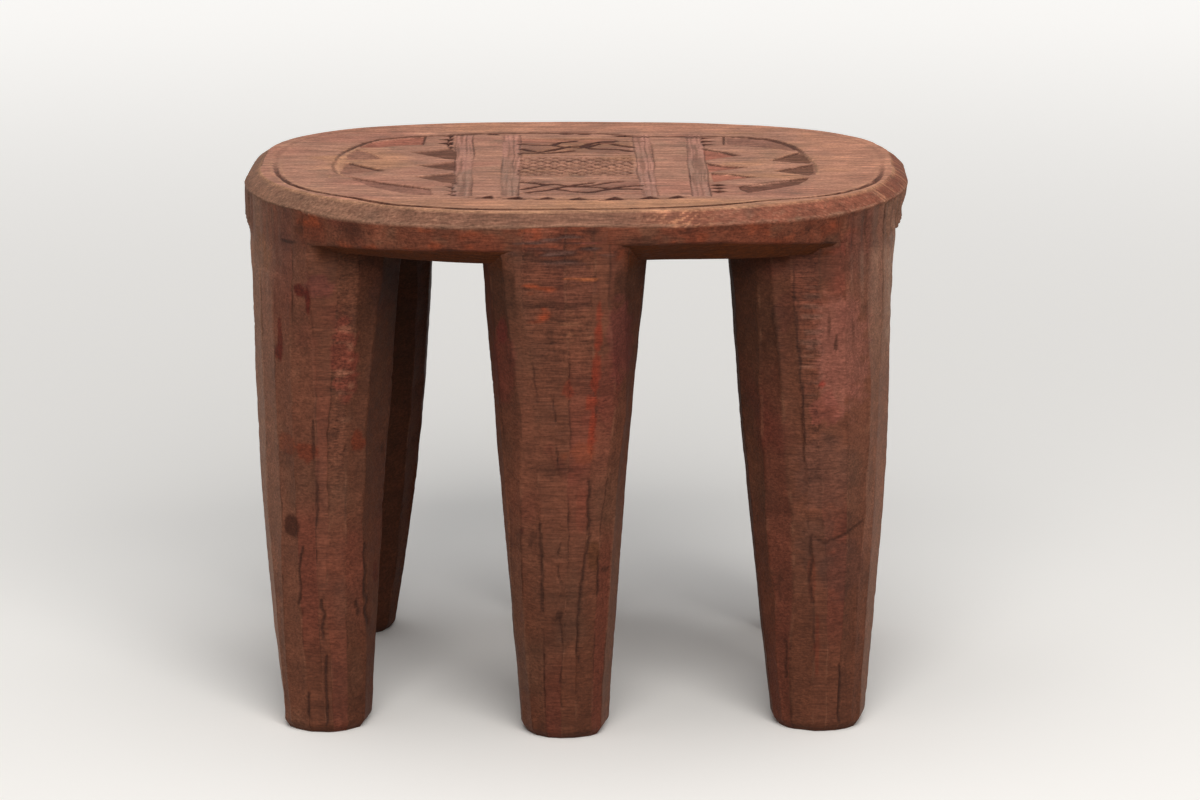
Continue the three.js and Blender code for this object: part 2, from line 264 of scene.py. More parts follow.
# Middle x and y and half sizes of each leg's top and foot, how its width grows, how it bows, and where its facets'
# edges run as shares of a turn: one for an upright edge, or one at each of the levels above
LEGS = [
    dict(name="leg_front_left", top=(-146.9, -64.8, 51.2, 36.8), foot=(-140.7, -99, 25.3, 25), bulge=0.1, bow=-3.5,
         seed=101, chatter=(10,), wear_and_sheen=(1.25, 1.15), ridges=[
             0.022, 0.11, 0.2, 0.29, 0.375, 0.45, (0.577, 0.574, 0.548, 0.548, 0.52),
             (0.621, 0.631, 0.636, 0.624, 0.598), (0.706, 0.704, 0.703, 0.691, 0.692),
             (0.76, 0.764, 0.765, 0.766, 0.756), (0.783, 0.778, 0.787, 0.79, 0.799),
             (0.838, 0.835, 0.831, 0.829, 0.842), (0.918, 0.895, 0.882, 0.877, 0.902)]),
    dict(name="leg_front_middle", top=(-3.9, -115, 45.4, 41), foot=(-4.9, -109, 24.6, 25), bulge=-0.025, bow=-0.8,
         seed=202, chatter=(9, 10), chatter_fade=(175, 255), shade=0.95, ridges=[
             0.01, 0.085, 0.17, 0.265, 0.355, 0.44, 0.512, (0.56, 0.565, 0.57, 0.58, 0.57),
             (0.626, 0.619, 0.632, 0.655, 0.628), (0.688, 0.695, 0.698, 0.699, 0.673),
             (0.743, 0.75, 0.762, 0.763, 0.753), (0.791, 0.794, 0.819, 0.824, 0.812),
             (0.854, 0.86, 0.855, 0.885, 0.843), (0.901, 0.907, 0.909, 0.93, 0.893)]),
    dict(name="leg_front_right", top=(137, -70, 51.4, 39.2), foot=(138.7, -94, 26.5, 25), bulge=0.145, bow=2.2,
         seed=303, chatter=(9,), wear_and_sheen=(0.6, 1.25), ridges=[
             0.03, 0.13, 0.23, 0.33, 0.41, 0.49, 0.55, (0.615, 0.624, 0.609, 0.621, 0.636),
             (0.655, 0.679, 0.685, 0.674, 0.666), (0.731, 0.733, 0.723, 0.716, 0.703),
             (0.763, 0.762, 0.748, 0.744, 0.747), (0.81, 0.813, 0.81, 0.801, 0.802),
             (0.86, 0.858, 0.881, 0.89, 0.877), (0.91, 0.916, 0.932, 0.943, 0.96)]),
    dict(name="leg_back_left", top=(-134.5, 75, 49.7, 40), foot=(-138.6, 92, 24.5, 25), bulge=0.095, bow=2.2,
         seed=404, wear_and_sheen=(0.6, 0.8),
         ridges=[0.04, 0.12, 0.19, 0.27, 0.34, 0.42, 0.5, 0.58, 0.66, 0.745, 0.83, 0.9, 0.965]),
    dict(name="leg_back_middle", top=(-2.6, 112, 47, 40), foot=(-7.6, 105, 23, 25), bulge=0.03, bow=0.8,
         seed=505, ridges=[0.07, 0.155, 0.25, 0.345, 0.42, 0.49, 0.57, 0.66, 0.75, 0.84, 0.915, 0.99]),
    dict(name="leg_back_right", top=(135.8, 75, 46.2, 40), foot=(136.7, 92, 26.2, 25), bulge=0.075, bow=-2.5,
         seed=606, wear_and_sheen=(0.6, 0.8),
         ridges=[0.05, 0.115, 0.18, 0.24, 0.31, 0.39, 0.47, 0.555, 0.64, 0.72, 0.8, 0.88, 0.97]),
]


def squared(direction, exponent):
    """A cosine or sine pulled outwards, so that a circle becomes a rounded square."""
    return np.sign(direction) * np.abs(direction) ** (2 / exponent)


def section(place, turn):
    """Point on a leg's section, at a share of the whole turn round it."""
    x, y, half_width, half_depth = place
    c, s = (squared(f(2 * math.pi * turn), SECTION_SQUARENESS) for f in (np.cos, np.sin))
    return np.stack([x + half_width * c, y + half_depth * s], -1)


def covered(x, y):
    """0 to 1: how surely a leg's upper end stands in front of the wall here."""
    best = np.zeros(np.broadcast(x, y).shape)
    for leg in LEGS:
        mx, my, half_width, half_depth = leg["top"]
        g = (np.abs(x - mx) / half_width) ** SECTION_SQUARENESS + (np.abs(y - my) / half_depth) ** SECTION_SQUARENESS
        best = np.maximum(best, smooth((1 - g ** (1 / SECTION_SQUARENESS)) * 42, 1.2, 4.0))
    return best


def underside_height(x, y):
    """Height of the seat's underside over a place, far above it outside the wall."""
    angle = round_angle(x, y)
    g = reach(x, y)
    inset = (1 - g) * np.hypot(x, y) / np.maximum(g, 0.05)
    low = band_low(angle) - 0.5
    start = wall_draft(angle) * 0.5 + 1.3
    height = low - (low - BELLY - 0.2) * np.clip((inset - start) / slope_width(angle), 0, 1)
    return np.where(inset < start - 0.8, NO_CEILING, height)


# ---- side colours, shared by the seat and the legs

MID = rgb(109, 64, 47)
LOW = rgb(93, 53, 37)
WINE = rgb(112, 48, 40)
ORANGE = rgb(158, 70, 38)
RUST = rgb(128, 50, 32)
DULL = rgb(102, 72, 59)
DARK = rgb(58, 33, 24)
PALE = rgb(150, 102, 78)
WORN_AND_SHEEN_GREY = rgb(160, 118, 97)
SHADED = rgb(48, 28, 17)
BAND_RED = rgb(112, 52, 34)
GREY_BROWN = rgb(98, 66, 50)
# The underside's colour is painted shade
SHADED_UNDERSIDE = rgb(78, 37, 13)

# Stains of each leg: x, z, half width, half height, colour, strength, raggedness
STAINS = {
    "leg_front_left": [
        (-127, 210, 7, 24, rgb(112, 48, 38), 0.5, 0.8), (-141, 254, 8, 7, rgb(108, 54, 48), 0.5, 0.8),
        (-164.3, 221, 1.5, 13, rgb(88, 34, 24), 0.8, 0.6), (-165, 213, 2.6, 4.5, rgb(88, 34, 24), 0.85, 0.6),
        (-147.5, 245, 1.7, 8, rgb(84, 28, 20), 0.85, 0.5), (-152.3, 250, 3.6, 3.2, rgb(84, 28, 20), 0.85, 0.7),
        (-149, 160, 6, 5, rgb(98, 40, 24), 0.65, 1.3), (-160, 163, 6, 6, rgb(116, 54, 34), 0.45, 1.3),
        (-145, 168, 1.0, 14, DARK, 0.7, 0.6), (-119.5, 164, 4.2, 6.5, rgb(98, 40, 22), 0.7, 1.1),
        # The thin dark one at x -159, z 276 is a painted shadow line under the band's lower edge
        (-159, 276.3, 5, 0.9, DARK, 0.9, 0.3), (-158.0, 116.5, 5.2, 6.8, rgb(62, 32, 22), 0.9, 0.2),
        (-104, 248, 9, 14, rgb(66, 38, 30), 0.55, 0.6), (-142, 287, 13, 6, rgb(74, 40, 26), 0.7, 1.3),
        (-176, 268, 5, 10, rgb(138, 92, 66), 0.5, 1.2), (-113, 85, 1.2, 6, rgb(78, 34, 24), 0.6, 0.6),
    ],
    "leg_front_middle": [
        (1, 262, 16, 13, rgb(84, 46, 38), 0.35, 1.0), (15.8, 246, 1.5, 9, RUST, 0.6, 1.2),
        (15.3, 233, 1.7, 9, RUST, 0.75, 1.2), (14.4, 219, 2.3, 10, RUST, 0.75, 1.2),
        (13.4, 207, 2.1, 8, RUST, 0.75, 1.2), (11.0, 197, 4.2, 5.5, RUST, 0.75, 1.3),
        (12.0, 186, 1.7, 9, RUST, 0.7, 1.2), (11.3, 175, 2.3, 8, RUST, 0.7, 1.2),
        (5, 168, 8, 5, rgb(130, 66, 42), 0.45, 1.4), (-1, 205, 2.6, 5, RUST, 0.5, 1.3),
        (27, 232, 7, 24, rgb(104, 50, 46), 0.45, 0.7), (-37, 215, 7, 20, rgb(100, 44, 36), 0.4, 0.7),
        (-38, 236, 3, 7, rgb(96, 34, 32), 0.5, 0.7), (21, 205, 6, 26, WINE, 0.25, 0.6),
        (12.4, 108, 3.6, 10, rgb(84, 48, 28), 0.7, 0.4), (-27.6, 122, 1.9, 2.6, rgb(70, 34, 26), 0.7, 0.8),
        (-23.1, 115.3, 1.6, 1.8, DARK, 0.7, 0.6), (-7.2, 74, 2.2, 3.0, DARK, 0.7, 0.6),
        (-10, 158, 10, 4, DARK, 0.4, 1.0), (-6, 60, 8, 12, DARK, 0.3, 1.0), (19.0, 99, 2.4, 1.4, DARK, 0.7, 0.4),
        (5.5, 134, 3.2, 14, rgb(128, 62, 46), 0.25, 0.8),
    ],
    "leg_front_right": [
        (150, 215, 16, 34, rgb(138, 85, 72), 0.6, 0.7), (141, 185, 9, 9, rgb(140, 74, 62), 0.45, 1.2),
        # The pale one at x 183 on the outermost facet is partly wear and partly painted sheen
        (138.5, 199.5, 2.0, 1.6, rgb(150, 52, 40), 0.6, 1.0), (183, 240, 7, 44, rgb(172, 140, 122), 0.45, 0.6),
        (142.5, 233, 0.8, 7, DARK, 0.5, 0.8), (146.5, 222, 1.0, 5, DARK, 0.7, 0.6),
        (156, 228, 0.8, 8, DARK, 0.4, 0.8), (135, 266, 22, 9, rgb(84, 50, 38), 0.55, 0.8),
        (140, 150, 16, 22, rgb(94, 60, 49), 0.5, 0.6), (123.0, 255, 0.8, 14, DARK, 0.75, 0.4),
        (124.8, 233, 0.8, 15, DARK, 0.75, 0.4), (126.5, 210, 0.9, 15, DARK, 0.8, 0.4),
        (128.1, 188, 0.9, 15, DARK, 0.75, 0.4), (129.2, 166, 0.8, 12, DARK, 0.7, 0.4),
        (111.5, 238, 0.9, 6, DARK, 0.7, 0.5), (113.2, 229, 1.3, 6, DARK, 0.75, 0.5),
        (137, 108, 12, 16, rgb(78, 50, 40), 0.5, 0.8), (150, 93, 12, 17, rgb(78, 49, 40), 0.5, 0.8),
        (118, 240, 5, 12, rgb(80, 40, 32), 0.4, 0.7), (116, 84, 1.4, 10, DARK, 0.5, 0.7),
        (133.8, 90, 2.6, 13, rgb(104, 48, 32), 0.45, 0.7), (137.2, 51, 1.4, 16, rgb(104, 44, 28), 0.45, 0.8),
    ],
}

# Drying cracks in the legs' faces: half width, and the places each one runs through as x and z
CRACKS = {
    "leg_front_left": [
        (0.8, [(-143.7, 144), (-142.7, 133), (-143.9, 117.5)]),
        (0.9, [(-152.5, 105.5), (-153.8, 93), (-152.8, 82), (-154.6, 72.5)]),
        (1.0, [(-141.6, 76), (-140, 67.5), (-141.2, 54.5)]), (0.7, [(-117.8, 105), (-117.4, 85), (-117.2, 58)]),
        (1.0, [(-121.8, 74), (-121.5, 66)]), (0.9, [(-138.5, 44.5), (-139.2, 30.5), (-138.2, 16.5), (-138.9, 5)]),
        (1.1, [(-148.9, 22.5), (-149.6, 10)]),
    ],
    "leg_front_middle": [
        (1.1, [(-17.8, 127), (-17.2, 112), (-16.9, 95), (-16.9, 76)]),
        (1.0, [(9.4, 152), (9.7, 120), (7.2, 106), (4.4, 88), (3.3, 68), (3.0, 46)]),
        (0.8, [(15.0, 106), (14.3, 84)]),
    ],
    "leg_front_right": [
        (0.9, [(133.4, 113.5), (140.6, 109.2), (149.5, 112.5), (163, 119)]),
        (1.1, [(132.8, 113), (133.6, 98), (132.6, 88), (134.3, 75)]),
        (0.8, [(119.2, 52), (119.8, 40.5), (118.8, 29.5)]), (0.9, [(149.9, 38.5), (150.2, 24), (149.8, 5.5)]),
    ],
}

# Short streaks along the grain: x, z, half width, half height, colour, strength, how sparse they are
STREAKS = {
    "leg_front_left": [
        (-127, 205, 6, 35, rgb(146, 98, 76), 0.5, 0.1), (-128, 210, 6, 40, DARK, 0.3, 0.3),
    ],
    "leg_front_middle": [
        (-21, 261, 15, 5, ORANGE, 0.6, 0.1), (-19, 247, 9, 5, rgb(168, 68, 34), 0.6, 0.15),
        (4, 267, 14, 4, rgb(150, 84, 52), 0.8, 0.2), (-3, 238, 10, 9, rgb(150, 96, 70), 0.6, 0.3),
        (-4, 284, 27, 11, rgb(74, 42, 33), 0.95, -0.15), (8, 287, 14, 4, rgb(140, 56, 40), 0.5, 0.2),
        (-4, 285, 34, 11, rgb(104, 78, 70), 0.5, 0.15), (-20, 253, 16, 3, DARK, 0.7, 0.1),
        (2, 254, 9, 5, DARK, 0.6, 0.2), (-12, 241, 12, 6, DARK, 0.5, 0.25),
    ],
    "leg_front_right": [
        (133, 225, 8, 36, rgb(140, 100, 84), 0.4, 0.1), (133, 225, 8, 36, DARK, 0.35, 0.25),
    ],
}


def side_tint(x, y, z):
    """Colour of everything below the bevel, from its place alone, so that the pieces match where they meet."""
    grain = fbm(x / 55, y / 7, z / 7, 41)
    blotch = fbm(x / 26, y / 26, z / 34, 42)
    patch = fbm(x / 11, y / 11, z / 17, 43)
    c = np.broadcast_to(MID, x.shape + (3,)).copy()
    c = blend(c, LOW, smooth(150 - z + 30 * blotch, 0, 110) * 0.85)
    c = blend(c, GREY_BROWN, smooth(blotch, 0.0, 0.7) * 0.5)
    c = blend(c, WINE, smooth(-blotch, 0.12, 0.6) * 0.5 * smooth(z, 60, 170))
    c = blend(c, DARK, smooth(patch, 0.25, 0.75) * 0.5)
    c = blend(c, PALE, smooth(-patch, 0.4, 0.9) * 0.2)
    c = c * (1 + 0.16 * grain)[..., None]
    red = smooth(z, 276, 282) * smooth(0.25 + 0.5 * blotch + 0.3 * patch, 0, 0.6) * smooth(158 - np.abs(x), 0, 10)
    c = blend(c, BAND_RED, red * 0.7)
    band = smooth(z, 274, 280)
    c = blend(c, ORANGE, band * smooth(fbm(x / 9, y / 9, z / 5, 45), 0.12, 0.5) * (0.36 - 0.14 * smooth(x, 20, 80)))
    c = blend(c, GREY_BROWN, band * smooth(fbm(x / 14, y / 14, z / 8, 47), 0.05, 0.5) * 0.6)
    c = blend(c, DARK, band * smooth(fbm(x / 10, y / 10, z / 6, 46), 0.15, 0.5) * 0.6)
    murky = np.exp(-(((x + 118) / 17) ** 2 + ((z - 289) / 7) ** 2)) * (y < 0)
    c = blend(c, DARK, murky * smooth(patch + 0.4, 0, 0.8) * 0.7)

    c = c * (1 - 0.09 * smooth(x, 55, 85) * band)[..., None]
    c = blend(c, DULL, smooth(np.abs(x), 148, 160) * smooth(z, 235, 270) * 0.55)

    # The two ends are grey in upright strokes, partly weathered and partly painted sheen
    angle = round_angle(x, y)
    stroke = 0.5 + 0.5 * noise(angle / 1.6, 0, z / 40, 44)
    end = np.maximum(smooth(x, 160, 182), smooth(-x, 158, 180)) * smooth(z, 235, 285)
    c = blend(c, WORN_AND_SHEEN_GREY, end * (0.15 + 0.6 * stroke))

    # Under the seat and on the sides that face its middle the wood is darkened with painted shade, more so just under
    # the band's edge on the left
    inner = 1 - smooth(reach(x, y), 0.55, 0.8)
    shade_beneath = smooth(0.985 - reach(x, y), 0.0, 0.03) * smooth(z, 262, 274) * (z < band_low(angle) + 0.2)
    c = blend(c, SHADED_UNDERSIDE, np.maximum(inner * 0.45, shade_beneath * 0.85))
    c = c * (1 - 0.14 * shade_beneath * smooth(-x, 30, 90))[..., None]
    return c


# ---- meshes


def make_piece(name, points, faces, tint, grain, node, material):
    """A smooth mesh from points in millimetres, lists of faces, and a colour and a grain strength for each point."""
    mesh = bpy.data.meshes.new(name)
    loops = np.concatenate([f.ravel() for f in faces]).astype(np.int32)
    totals = np.concatenate([np.full(len(f), f.shape[1]) for f in faces]).astype(np.int32)
    starts = np.concatenate([[0], np.cumsum(totals)[:-1]]).astype(np.int32)
    mesh.vertices.add(len(points))
    mesh.vertices.foreach_set("co", (points * MM).astype(np.float32).ravel())
    mesh.loops.add(len(loops))
    mesh.loops.foreach_set("vertex_index", loops)
    mesh.polygons.add(len(totals))
    mesh.polygons.foreach_set("loop_start", starts)
    mesh.polygons.foreach_set("loop_total", totals)
    mesh.update(calc_edges=True)
    mesh.polygons.foreach_set("use_smooth", np.ones(len(totals), bool))
    layer = mesh.attributes.new("tint", "FLOAT_COLOR", "POINT")
    layer.data.foreach_set("color", np.c_[np.clip(tint, 0, 1), grain].astype(np.float32).ravel())
    mesh.validate()
    mesh.materials.append(material)
    obj = bpy.data.objects.new(name, mesh)
    bpy.context.collection.objects.link(obj)
    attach(obj, "root")
    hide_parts(node)
    return obj


def ring_quads(lower, upper):
    """Quads between two rings of points, the first below or inside the second, both anticlockwise from above."""
    return np.stack([lower, np.roll(lower, -1), np.roll(upper, -1), upper], -1)


# ---- carving of the top


def line_distance(x, y, points):
    """Distance to a line through some points."""
    best = np.full(x.shape, 1e9)
    for (ax, ay), (bx, by) in zip(points[:-1], points[1:]):
        ex, ey = bx - ax, by - ay
        t = np.clip(((x - ax) * ex + (y - ay) * ey) / (ex * ex + ey * ey), 0, 1)
        best = np.minimum(best, np.hypot(x - ax - t * ex, y - ay - t * ey))
    return best


def polygon_distance(x, y, corners):
    """Distance to a polygon's outline, negative inside it."""
    closed = [*corners, corners[0]]
    inside = np.zeros(x.shape, bool)
    for (ax, ay), (bx, by) in zip(closed[:-1], closed[1:]):
        if ay != by:
            inside ^= ((ay > y) != (by > y)) & (x < ax + (y - ay) * (bx - ax) / (by - ay))
    best = line_distance(x, y, closed)
    return np.where(inside, -best, best)


# The four bands: x of their two edges at the back and at the front
BANDS = [((-73.5, -63.5), (-66.0, -55.5)), ((-46.0, -35.0), (-39.5, -29.5)),
         ((31.0, 41.0), (39.0, 48.0)), ((63.0, 72.5), (66.0, 77.0))]

# Fields: corners, kind and depth
FIELDS = [
    ([(-75, 51), (-70, 37), (-69.5, 13), (-76, 16), (-88, 28), (-98, 37.5), (-84, 43)], "dark", 1.3),
    ([(-71, 8), (-68.5, 5), (-68, -22), (-78, -15.5), (-93, -4), (-80, 1.5)], "dark", 1.4),
    ([(-70, -27.5), (-67, -34), (-65, -64), (-74, -57), (-83, -48), (-91, -39.5), (-80, -34)], "dark", 1.4),
    ([(-129, 48), (-134, 28), (-133, 12.5), (-121, 12.5), (-112, 16), (-121, 36)], "brown", 1.1),
    ([(-133, 4), (-127, 1), (-109, -22), (-118, -27), (-130, -33), (-134, -30)], "brown", 1.2),
    ([(73, 49), (95, 27.5), (84, 19), (74, 12)], "red", 1.4),
    ([(75, 3), (99, -10.5), (86, -18.5), (76, -25)], "red", 1.4),
    ([(77, -28), (103, -41.5), (92, -47.5), (78, -58)], "red", 1.4),
    ([(129, 38.5), (134, 22), (136, 8), (134, 0.5), (125, 3), (110, 11.5)], "dark", 1.4),
    ([(136, -0.5), (136.5, -28), (133, -36.5), (124, -30.5), (113, -22.5), (128, -9)], "dark", 1.4),
    ([(-92, 89.5), (-92, 63), (-107, 58), (-118, 52.5), (-128, 53), (-129, 58), (-123, 71), (-106, 84.5)], "red", 1.3),
    ([(-129, -41), (-106, -60), (-79, -77), (-77, -97), (-90, -93), (-100, -85), (-113, -71)], "brown", 1.2),
    ([(87, 88.5), (105, 86), (115, 80), (122, 70), (129, 52), (126, 43), (115, 50), (100, 57), (87, 64)], "brown", 1.1),
    ([(92, -70), (104, -64), (117, -54), (132, -41), (132, -48), (126, -64), (112, -77), (98, -89), (93, -80)],
     "dark", 1.5),
]

# How strong each kind of field is, and how much its hatching adds or takes away
FIELD_TONES = {"dark": (0.76, 0.2), "brown": (0.8, 0.15), "red": (0.85, 0.1)}

# Deep edges of some fields, as cuts darkened with painted shade: from, to, half width
DEEP_EDGES = [
    ((-128, -41), (-106, -60), 1.0), ((-106, -60), (-79, -77), 1.2), ((-130, 2), (-110, -21.5), 1.5),
    ((73, 50), (84, 40), 1.6), ((84, 40), (93.5, 28), 1.9), ((75, 3), (85, -5), 1.5), ((85, -5), (97, -10.5), 1.7),
    ((78, -28), (88, -32), 1.2), ((88, -32), (101.5, -41), 1.6), ((-92, 62), (-92, 92), 1.2),
    ((85.5, 63), (85.5, 89), 0.9), ((92, -70), (132, -42), 1.3), ((-77, 56), (-77, 98), 0.9),
    ((-124.5, -50), (-123, -52), 0.9), ((129, 38), (112, 11.5), 1.0), ((136, -1), (114, -22), 1.0),
]

# Small chips: corners
CHIPS = [
    ((-53, -106), (-43.5, -106.5), (-44.5, -98)), ((-38, -107), (-25, -110), (-29.5, -100.5)),
    ((-21, -110), (-8.5, -108), (-13.5, -101.5)), ((-2, -109.5), (9.5, -110.5), (4, -102.5)),
    ((15, -112), (30, -109.5), (24, -101)), ((35.5, -109), (48.5, -106.5), (43, -99.5)),
    ((51.5, -106.5), (62.5, -103.5), (59, -97)),
    ((-56, 94), (-48, 94), (-52, 101)), ((-12, 97), (-4, 97), (-8, 103)), ((-1, 96), (6, 96), (3, 101)),
    ((20, 89), (33, 88), (27, 96)),
    ((-83, 92), (-75.5, 96.5), (-75.5, 88)), ((-83, 79), (-75, 83), (-75, 75)), ((-83, 66), (-74.5, 70), (-74.5, 61)),
    ((-76.5, 51), (-75, 56), (-73.5, 50)),
    ((-71.5, -70), (-66.5, -71), (-67, -75.5)), ((-70, -82.5), (-64.5, -84), (-65, -87.5)),
    ((-71, -92.5), (-64.5, -94), (-65, -98)),
    ((72.5, 87.5), (72.5, 82), (80, 85)), ((72.5, 77.5), (72.5, 70), (80.5, 74)), ((73, 66.5), (73, 60), (80, 63)),
    ((76.5, -66), (81, -62.8), (85.5, -66), (81, -69.2)), ((77, -75.5), (81.5, -72.4), (86, -75.5), (81.5, -78.6)),
    ((77, -84.8), (81.5, -81.8), (86, -84.8), (81.5, -87.8)),
]

# The thin cut that joins the chips along the front
CHIP_LINE = [
    (-57, -103), (-41, -103), (-37, -106), (-20, -106.5), (-1, -108.5), (17, -108.5), (28, -107.5), (37, -107.5),
    (49, -106), (64, -101.5),
]

# Interlaced zigzags of the middle panel: points of each line
ZIGZAGS = [
    [(-29, -59), (-24.5, -61.5), (-16, -67), (-10, -65.5), (-4, -69.5), (4, -71), (9.5, -70), (15, -64.5),
     (20.5, -59.5), (27, -58)],
    [(-22, -61.5), (-16, -66), (-11.5, -65.5)],
    [(-28, -80), (-21.5, -73.5), (-15.5, -68)],
    [(-25, -90), (-19, -86), (-12.5, -81.5), (-7, -75.5), (-2, -69.5), (5, -64), (10.5, -61)],
    [(-2, -72), (6.5, -73.5), (15, -76), (23.5, -79), (37.5, -79)],
    [(-9.5, -80), (-4.5, -83), (1.5, -88), (7, -89.5), (12.5, -87), (18, -81.5), (26, -74), (37.5, -68.5)],
    [(-34.5, 63), (-28.5, 60.5), (-19.5, 59.5), (-14, 58), (-7.5, 51.5), (1, 50), (7, 56.5), (12.5, 64.5), (18.5, 65),
     (24.5, 58), (31, 53)],
    [(-33, 46.5), (-28, 40), (-22, 36.5), (-16.5, 41.5), (-10.5, 48), (-5, 55), (1, 55.5), (8, 48), (16, 46.5),
     (24.5, 44.5), (31, 39)],
    [(-33.5, 31.5), (-27.5, 33), (-19, 32.5), (-10.5, 36), (-3.5, 40)],
    [(-15, 60), (-11, 69), (-2.5, 74.5)],
    [(2.5, 55), (6.5, 65), (12.5, 72), (21.5, 73)],
]

# Straight lines of the middle panel: from, to, half width, how dark
PANEL_LINES = [
    ((-29, -54), (-16, -50), 1.3, 0.6), ((-16, -50), (14, -48), 1.3, 0.6), ((14, -48), (36, -49), 1.1, 0.5),
    ((-30, -41), (36, -41), 0.9, 0.4), ((-33, 24), (31, 25), 1.1, 0.5), ((19, 73), (38, 73), 2.0, 0.75),
    ((-28, 39), (-14, 41), 1.8, 0.6), ((10, 33), (30, 31), 1.5, 0.55),
    ((-30, -94.5), (38, -95), 1.0, 0.35),
]

# The oval line: a cut round the back and both ends
OVAL_CUT = [
    (-134, -34), (-138, -20), (-140, -2), (-139, 18), (-137, 36), (-132.5, 52), (-126.5, 69), (-118, 81),
    (-106, 87), (-92, 92), (-80, 94), (-66, 98), (-50, 100), (-30, 102), (-10, 102), (0, 101), (15, 100), (25, 95),
    (40, 91), (60, 91.5), (85, 91), (100, 88.5), (111, 83), (119.5, 72.5), (126, 58), (130.5, 40), (134.5, 18),
    (137, -2), (137.5, -18), (135.5, -34),
]
# Pale scratches beside it at both ends
SCRATCHES = [
    [(-130, 53), (-134, 34), (-136.5, 14), (-136.5, -10), (-134, -30), (-131, -39)],
    [(126.5, 50), (133, 30), (136.5, 8), (138, -14), (138, -32)],
    [(-139, -38), (-138.5, -44)],
]
# A darker band along the oval line's back
BACK_BORDER = [(-75, 97), *OVAL_CUT[12:19], (60, 88), (80, 88)]


